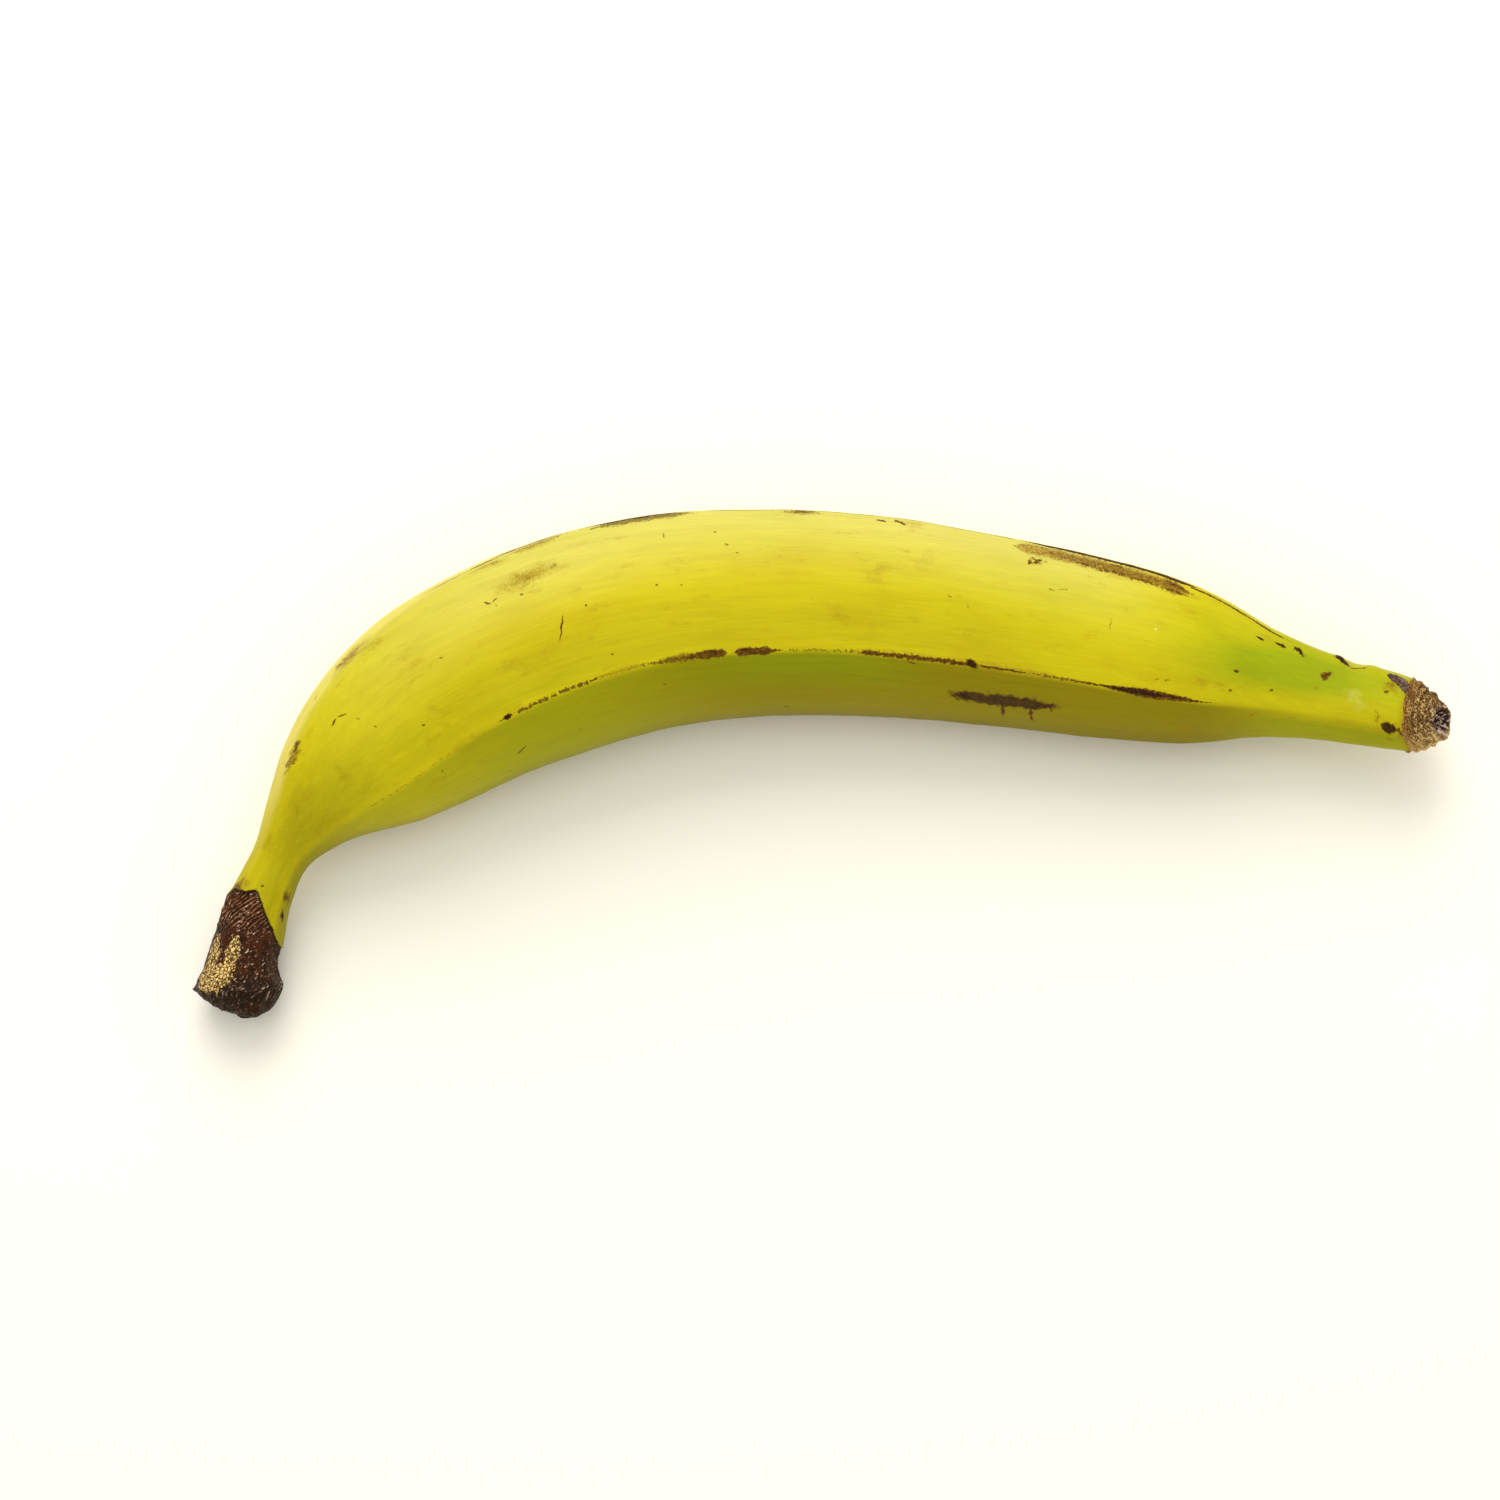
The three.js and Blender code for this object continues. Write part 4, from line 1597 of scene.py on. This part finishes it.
STAINS: dict[Stain, StainFinish] = {
    # Pale flecks and wax bloom of the peel, also used for a painted highlight past the back ridge by the
    # tip.
    Stain.PALE: StainFinish(screen(214, 214, 120), screen(206, 206, 90), 0.5),
    Stain.SMUDGE: StainFinish(screen(142, 120, 14), screen(166, 136, 14), 0.5),
    Stain.TAN: StainFinish(screen(128, 88, 20), screen(160, 124, 34), 0.55),
    Stain.BROWN: StainFinish(screen(84, 50, 8), screen(118, 84, 12), 0.5),
    Stain.MAUVE: StainFinish(screen(74, 54, 46), screen(122, 98, 88), 0.4),
    Stain.DARK: StainFinish(screen(46, 22, 6), screen(74, 42, 10), 0.42),
}
WORN_STAINS = (Stain.SMUDGE, Stain.TAN)


FLAKES = (
    Mark("lens of flakes", (-130.4, -76.0), (-132.0, -81.6), 3.4, Stain.TAN, 1.0, 0.9, 0.1),
    Mark("strip of flakes", (-135.6, -77.4), (-138.0, -84.6), 6.4, Stain.TAN, 1.0, 0.9, 0.1),
    Mark("flakes by the torn end", (-137.4, -86.2), (-133.4, -84.6), 4.4, Stain.TAN, 1.0, 1.1, 0.1),
    Mark("flakes between", (-135.4, -83.6), (-132.4, -82.2), 3.2, Stain.TAN, 1.0, 1.0, 0.1),
)


@dataclass
class Marker:
    """Puts marks and streaks on the peel.

    The places that they are read at are shaken a little. That also makes a long shader small: Cycles
    works out a mark in one go only where all that it starts from is ready together.
    """

    at: Places
    sight: Sight
    shake_seeds: tuple[float, float] = (11.0, 23.0)
    place_shake: float = 0.05

    def __post_init__(self) -> None:
        """Makes the effects, and the noises that marks and streaks are ragged with."""
        self.mark_effect, self.streak_effect = MarkEffect(), StreakEffect()
        at = self.at
        sides = []
        for seed in self.shake_seeds:
            moved = at.peel + (seed, seed, seed)
            coarse = moved.noise(1.6, 1.0) - 0.5
            sides.append((coarse + (moved.noise(0.45) - 0.5) * 0.6) * 2.0)
        slow = (at.peel * (0.22, 0.02, 0.0)).noise(1.0, 3.0, 0.6) - 0.5
        fine = at.peel.noise(0.7, 3.0, 0.65) - 0.5
        broken = (at.peel * (1.0, 0.5, 1.0)).noise(1.1)
        slight = ((sides[0] + sides[1]) + (slow + broken)) * self.place_shake
        self.along = slight + at.along
        self.across = {FLANK_UPPER: slight + at.from_flank, BACK_UPPER: slight + at.from_back}
        self.mark_shakes = {"shake_along": sides[0], "shake_across": sides[1]}
        self.streak_shakes = {"slow": slow, "fine": fine, "broken": broken}

    def mark(self, mark: Mark) -> Wire:
        """Places a mark.

        Args:
            mark: the mark.

        Returns:
            Its mask.
        """
        ends = np.array([self.sight.find(*mark.start), self.sight.find(*mark.end)])
        centre, run = ends.mean(axis=0), ends[1] - ends[0]
        return self.at.tree.place(
            self.mark_effect, mark.name, along=self.along, across=self.across[FLANK_UPPER],
            **self.mark_shakes, centre_along=centre[0], centre_across=centre[1],
            half_length=(float(np.hypot(*run)) + mark.width) / 2, half_width=mark.width / 2,
            heading=math.atan2(run[1], run[0]), ragged=mark.ragged, softness=mark.softness,
        ) * mark.strength

    def streak(self, streak: Streak) -> Wire:
        """Places a streak.

        Args:
            streak: the streak.

        Returns:
            Its mask.
        """
        names = ("offset", "rise", "fall", "half_width", "ragged", "gaps", "fray", "softness")
        start, end = (self.sight.along_ridge(streak.ridge, x) for x in (streak.start_x, streak.end_x))
        return self.at.tree.place(
            self.streak_effect, streak.name, along=self.along, across=self.across[streak.ridge],
            **self.streak_shakes, start=start, end=end, **{n: getattr(streak, n) for n in names},
        ) * streak.strength


@dataclass
class FruitMaterial:
    """The fruit's material: peel, dry stem and crust in one shader, with the stains on top."""

    sight: Sight
    # Painted shade: a faint olive-brown band on the peel where it meets the crust.
    crust_shade_band: Ramp = (-2.6, 0.2)
    bump_distance_mm: float = 1.0
    specular_level: float = 0.08
    index_of_refraction: float = 1.45

    @staticmethod
    def places(tree: Tree) -> Places:
        """Reads where a place on the skin is.

        Args:
            tree: the material's tree.

        Returns:
            The places.
        """
        straight, edges = (
            tree.made("Attribute", {}, "Vector", attribute_name=name) for name in ("straight", "edges")
        )
        peel, ridges = (tree.made("UVMap", {}, "UV", uv_map=name) for name in ("peel", "ridges"))
        along, from_flank, _ = tree.separate(peel)
        from_back, from_inner, _ = tree.separate(ridges)
        along = along * PEEL_SPAN
        around = [(share - 0.5) * PEEL_SPAN for share in (from_flank, from_back, from_inner)]
        flat = tree.combine(along, around[0])
        return Places(tree, straight, flat, along, *around, *tree.separate(edges))

    def stain_masks(self, at: Places, marker: Marker) -> dict[Stain, Wire]:
        """Makes the mask of each kind of stain.

        Args:
            at: the places on the skin.
            marker: what puts marks on the peel.

        Returns:
            The masks.
        """
        dots = SpeckEffect()
        specks = at.tree.place(dots, straight=at.straight, spacing=8.0, radius=0.45, share=0.35)
        fine = at.tree.place(dots, straight=at.straight, spacing=3.6, radius=0.2, share=0.4)
        # Painted shade where the peel meets the crust, drawn with the smudge colour.
        crust_shade = at.crust_edge.step(*self.crust_shade_band) * 0.6
        masks: dict[Stain, Value] = {stain: 0.0 for stain in STAINS}
        masks[Stain.SMUDGE] = fine * 0.8 | (specks * 0.8 | crust_shade)
        for item in STREAKS + MARKS:
            mask = marker.streak(item) if isinstance(item, Streak) else marker.mark(item)
            masks[item.stain] = at.tree.math("MAXIMUM", masks[item.stain], mask)
        worn = at.straight.noise(0.4, 2.0, 0.7).step(0.4, 0.58).spread(0.5, 1.0)
        for stain in WORN_STAINS:
            masks[stain] = masks[stain] * worn
        return masks

    def build(self) -> bpy.types.Material:
        """Makes the material.

        Returns:
            The material.
        """
        material = bpy.data.materials.new("plantain peel")
        material.use_nodes = True
        tree = Tree(material.node_tree)
        at = self.places(tree)
        marker = Marker(at, self.sight)
        surface = PeelFinish(at).draw()
        masks = self.stain_masks(at, marker)
        mottle = at.straight.noise(1.0, 4.0, 0.7).step(0.42, 0.64)
        for stain, finish in STAINS.items():
            colour = masks[stain].mix(surface.colour, mottle.mix(finish.colour, finish.mottle))
            rough = masks[stain].between(surface.roughness, finish.roughness)
            surface = Surface(colour, rough, surface.height)
        stem = DryStemFinish(at).draw(reduce(Wire.__or__, map(marker.mark, FLAKES)))
        dry_edge = at.stem_edge + (at.straight.noise(1.4, 3.0) - 0.5) * 1.2
        surface = surface.cover(stem, dry_edge.step(0.25, -0.1))
        crusted_edge = at.crust_edge + (at.straight.noise(1.8, 3.0) - 0.5) * 2.0
        surface = surface.cover(BlossomCrustFinish(at).draw(), crusted_edge.step(-0.1, 0.25))
        bump = {"Distance": self.bump_distance_mm * MM, "Height": surface.height}
        inputs = {
            "Base Color": surface.colour,
            "Roughness": surface.roughness,
            "IOR": self.index_of_refraction,
            "Specular IOR Level": self.specular_level,
            "Normal": tree.made("Bump", bump, "Normal"),
        }
        shader = material.node_tree.nodes["Principled BSDF"]
        for name, value in inputs.items():
            tree.feed(shader.inputs[name], value)
        return material


# ---- Pieces ----


def leave_all() -> None:
    """Deselects everything, in object mode."""
    if bpy.context.object and bpy.context.object.mode != "OBJECT":
        bpy.ops.object.mode_set(mode="OBJECT")
    bpy.ops.object.select_all(action="DESELECT")


@dataclass
class Fruit:
    """The whole fruit as one closed skin."""

    form: FruitForm = field(default_factory=FruitForm)
    eye: Vector = field(default_factory=lambda: Vector((-12.0, -32.0, 814.6)))
    stem_edge: Boundary = Boundary((
        (0, 19.5), (8, 19.8), (20, 21.7), (51, 22.4), (69, 23.0), (83, 23.7), (97, 22.2), (118, 19.1),
        (134, 16.6), (152, 13.8), (166, 12.4), (190, 11.5), (215, 13.0), (250, 17.0), (290, 19.5),
        (330, 19.0), (360, 19.5),
    ))
    crust_edge: Boundary = Boundary((
        (0, 312.4), (26, 312.3), (36, 312.1), (65, 311.7), (97, 312.1), (128, 313.2), (142, 314.6),
        (158, 315.0), (185, 313.6), (215, 312.2), (250, 311.4), (290, 312.0), (330, 311.6), (360, 312.4),
    ))

    def __post_init__(self) -> None:
        """Lays out the skin and the view of it from above."""
        self.grid = SkinGrid(self.form)
        self.sight = Sight(self.grid, self.eye)
        low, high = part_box(NODE)
        self.low, self.high = np.array(low) / MM, np.array(high) / MM
        self.turn = np.array(self.form.lie().to_3x3())
        laid = self.grid.plain @ self.turn.T
        least, most = laid.reshape(-1, 3).min(0), laid.reshape(-1, 3).max(0)
        self.shift = (self.low + self.high) / 2 - (least + most) / 2
        self.shift[2] = self.low[2] - least[2] - self.form.contact_flat

    def in_row(self, points: np.ndarray) -> np.ndarray:
        """Points of the plane of the curve, in the row frame."""
        return points @ self.turn.T + self.shift

    def build(self) -> bpy.types.Object:
        """Models the skin from a flat sheet that is rolled up and closed.

        Returns:
            The skin.
        """
        leave_all()
        rows, columns = self.grid.angle.shape
        bpy.ops.mesh.primitive_grid_add(x_subdivisions=columns - 1, y_subdivisions=rows - 1, size=1.0)
        skin = bpy.context.object
        skin.name = skin.data.name = "plantain_skin"
        mesh = skin.data
        count = len(mesh.vertices)
        flat = np.empty(count * 3)
        mesh.vertices.foreach_get("co", flat)
        flat = flat.reshape(-1, 3)
        column = np.rint((flat[:, 0] + 0.5) * (columns - 1)).astype(int)
        row = np.rint((flat[:, 1] + 0.5) * (rows - 1)).astype(int)
        relief = SkinRelief(self.grid, self.sight, self.stem_edge, self.crust_edge)
        lifted = self.grid.plain + self.grid.normals() * relief.heights()[..., None]
        laid = np.clip(self.in_row(lifted), self.low, self.high)
        laid[0] = laid[0].mean(axis=0)
        laid[-1] = laid[-1].mean(axis=0)
        laid[:, -1] = laid[:, 0]
        mesh.vertices.foreach_set("co", (laid[row, column] * MM).ravel())
        self.mark_places(mesh, row, column)
        self.close(skin)
        return skin

    def mark_places(self, mesh: bpy.types.Mesh, row: np.ndarray, column: np.ndarray) -> None:
        """Writes where each place of the skin is, as UV maps and attributes.

        Args:
            mesh: the skin's mesh.
            row: row of the grid for each vertex.
            column: column of the grid for each vertex.
        """
        grid = self.grid
        along = np.broadcast_to(grid.along[:, None], grid.angle.shape)
        share = np.broadcast_to(grid.share[:, None], grid.angle.shape)
        from_flank, from_back, from_inner = (
            0.5 + grid.from_ridge(ridge) / PEEL_SPAN for ridge in (FLANK_UPPER, BACK_UPPER, INNER_CURVE)
        )
        maps = {"peel": (along / PEEL_SPAN, from_flank), "ridges": (from_back, from_inner)}
        corner = np.empty(len(mesh.loops), int)
        mesh.loops.foreach_get("vertex_index", corner)
        for layer in list(mesh.uv_layers):
            mesh.uv_layers.remove(layer)
        for name, (x, y) in maps.items():
            layer = mesh.uv_layers.new(name=name)
            values = np.stack([x[row, column], y[row, column]], -1)[corner]
            layer.data.foreach_set("uv", values.astype(np.float32).ravel())
        edges = np.stack([
            self.stem_edge.past(along, grid.angle),
            self.crust_edge.past(along, grid.angle),
            share,
        ], -1)
        for name, values in (("straight", grid.straightened()), ("edges", edges)):
            attribute = mesh.attributes.new(name, "FLOAT_VECTOR", "POINT")
            attribute.data.foreach_set("vector", values[row, column].astype(np.float32).ravel())

    @staticmethod
    def close(skin: bpy.types.Object) -> None:
        """Joins the sheet's edges and its two end rows, and turns the faces outwards.

        Args:
            skin: the sheet.
        """
        bpy.ops.object.mode_set(mode="EDIT")
        bpy.ops.mesh.select_all(action="SELECT")
        bpy.ops.mesh.remove_doubles(threshold=1e-7)
        bpy.ops.mesh.normals_make_consistent(inside=False)
        bpy.ops.object.mode_set(mode="OBJECT")
        bpy.ops.object.shade_smooth()
        skin.select_set(False)


# ---- The studio ----


@dataclass(frozen=True)
class AreaLamp:
    """A soft square light that looks at the fruit."""

    name: str
    place: tuple[float, float, float]
    size: float
    power: float
    colour: Colour = (1.0, 1.0, 1.0)

    def build(self) -> None:
        """Adds the light."""
        leave_all()
        bpy.ops.object.light_add(type="AREA", location=self.place)
        lamp = bpy.context.object
        lamp.name = self.name
        lamp.data.size = self.size
        lamp.data.energy = self.power
        lamp.data.color = self.colour
        lamp.rotation_euler = (-Vector(self.place)).to_track_quat("-Z", "Y").to_euler()


@dataclass
class Studio:
    """Floor, soft light and camera. Places here are in metres, in the row frame."""

    fruit: Fruit
    lens: float = 85.0
    sensor: float = 36.0
    floor_size: float = 8.0
    floor_colour: Colour = (0.96, 0.93, 0.82)
    floor_roughness: float = 0.6
    floor_specular: float = 0.3
    surround: Colour = (1.0, 0.985, 0.95)
    surround_strength: float = 0.74
    lamps: tuple[AreaLamp, ...] = (
        AreaLamp("key_light", (-0.15, 0.95, 0.95), 1.0, 11.2, (1.0, 0.985, 0.96)),
        AreaLamp("top_light", (0.1, 0.1, 1.6), 1.2, 5.0),
    )

    def build_floor(self) -> None:
        """Adds a wide plain floor."""
        leave_all()
        bpy.ops.mesh.primitive_plane_add(size=self.floor_size, location=(0.0, 0.0, 0.0))
        floor = bpy.context.object
        floor.name = "floor"
        material = bpy.data.materials.new("pale floor")
        material.use_nodes = True
        shader = material.node_tree.nodes["Principled BSDF"]
        shader.inputs["Base Color"].default_value = (*self.floor_colour, 1.0)
        shader.inputs["Roughness"].default_value = self.floor_roughness
        shader.inputs["Specular IOR Level"].default_value = self.floor_specular
        floor.data.materials.append(material)

    def build_light(self) -> None:
        """Adds soft lights and a pale surround."""
        world = bpy.data.worlds.new("studio")
        bpy.context.scene.world = world
        world.use_nodes = True
        background = world.node_tree.nodes["Background"]
        background.inputs["Color"].default_value = (*self.surround, 1.0)
        background.inputs["Strength"].default_value = self.surround_strength
        for lamp in self.lamps:
            lamp.build()
        bpy.context.scene.view_settings.view_transform = "Standard"

    def build_camera(self) -> None:
        """Adds a camera that looks straight at the plane of the fruit's curve."""
        leave_all()
        bpy.ops.object.camera_add()
        camera = bpy.context.object
        camera.name = "camera"
        camera.data.lens = self.lens
        camera.data.sensor_width = self.sensor
        place = self.fruit.in_row(np.array(self.fruit.eye)) * MM
        camera.matrix_world = Matrix.Translation(Vector(place)) @ self.fruit.form.lie()
        bpy.context.scene.camera = camera


def main() -> None:
    """Builds the studio and the fruit, hangs the fruit on its body, and hides the CAD part that it stands
    for.
    """
    logging.basicConfig(level=logging.INFO, format="%(name)s: %(message)s")
    fruit = Fruit()
    studio = Studio(fruit)
    studio.build_camera()
    studio.build_light()
    studio.build_floor()
    log.info("studio: camera, lights and floor")
    skin = fruit.build()
    skin.data.materials.append(FruitMaterial(fruit.sight).build())
    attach(skin, BODY)
    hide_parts(NODE)
    log.info("%s: %d faces", skin.name, len(skin.data.polygons))


if __name__ == "__main__":
    main()
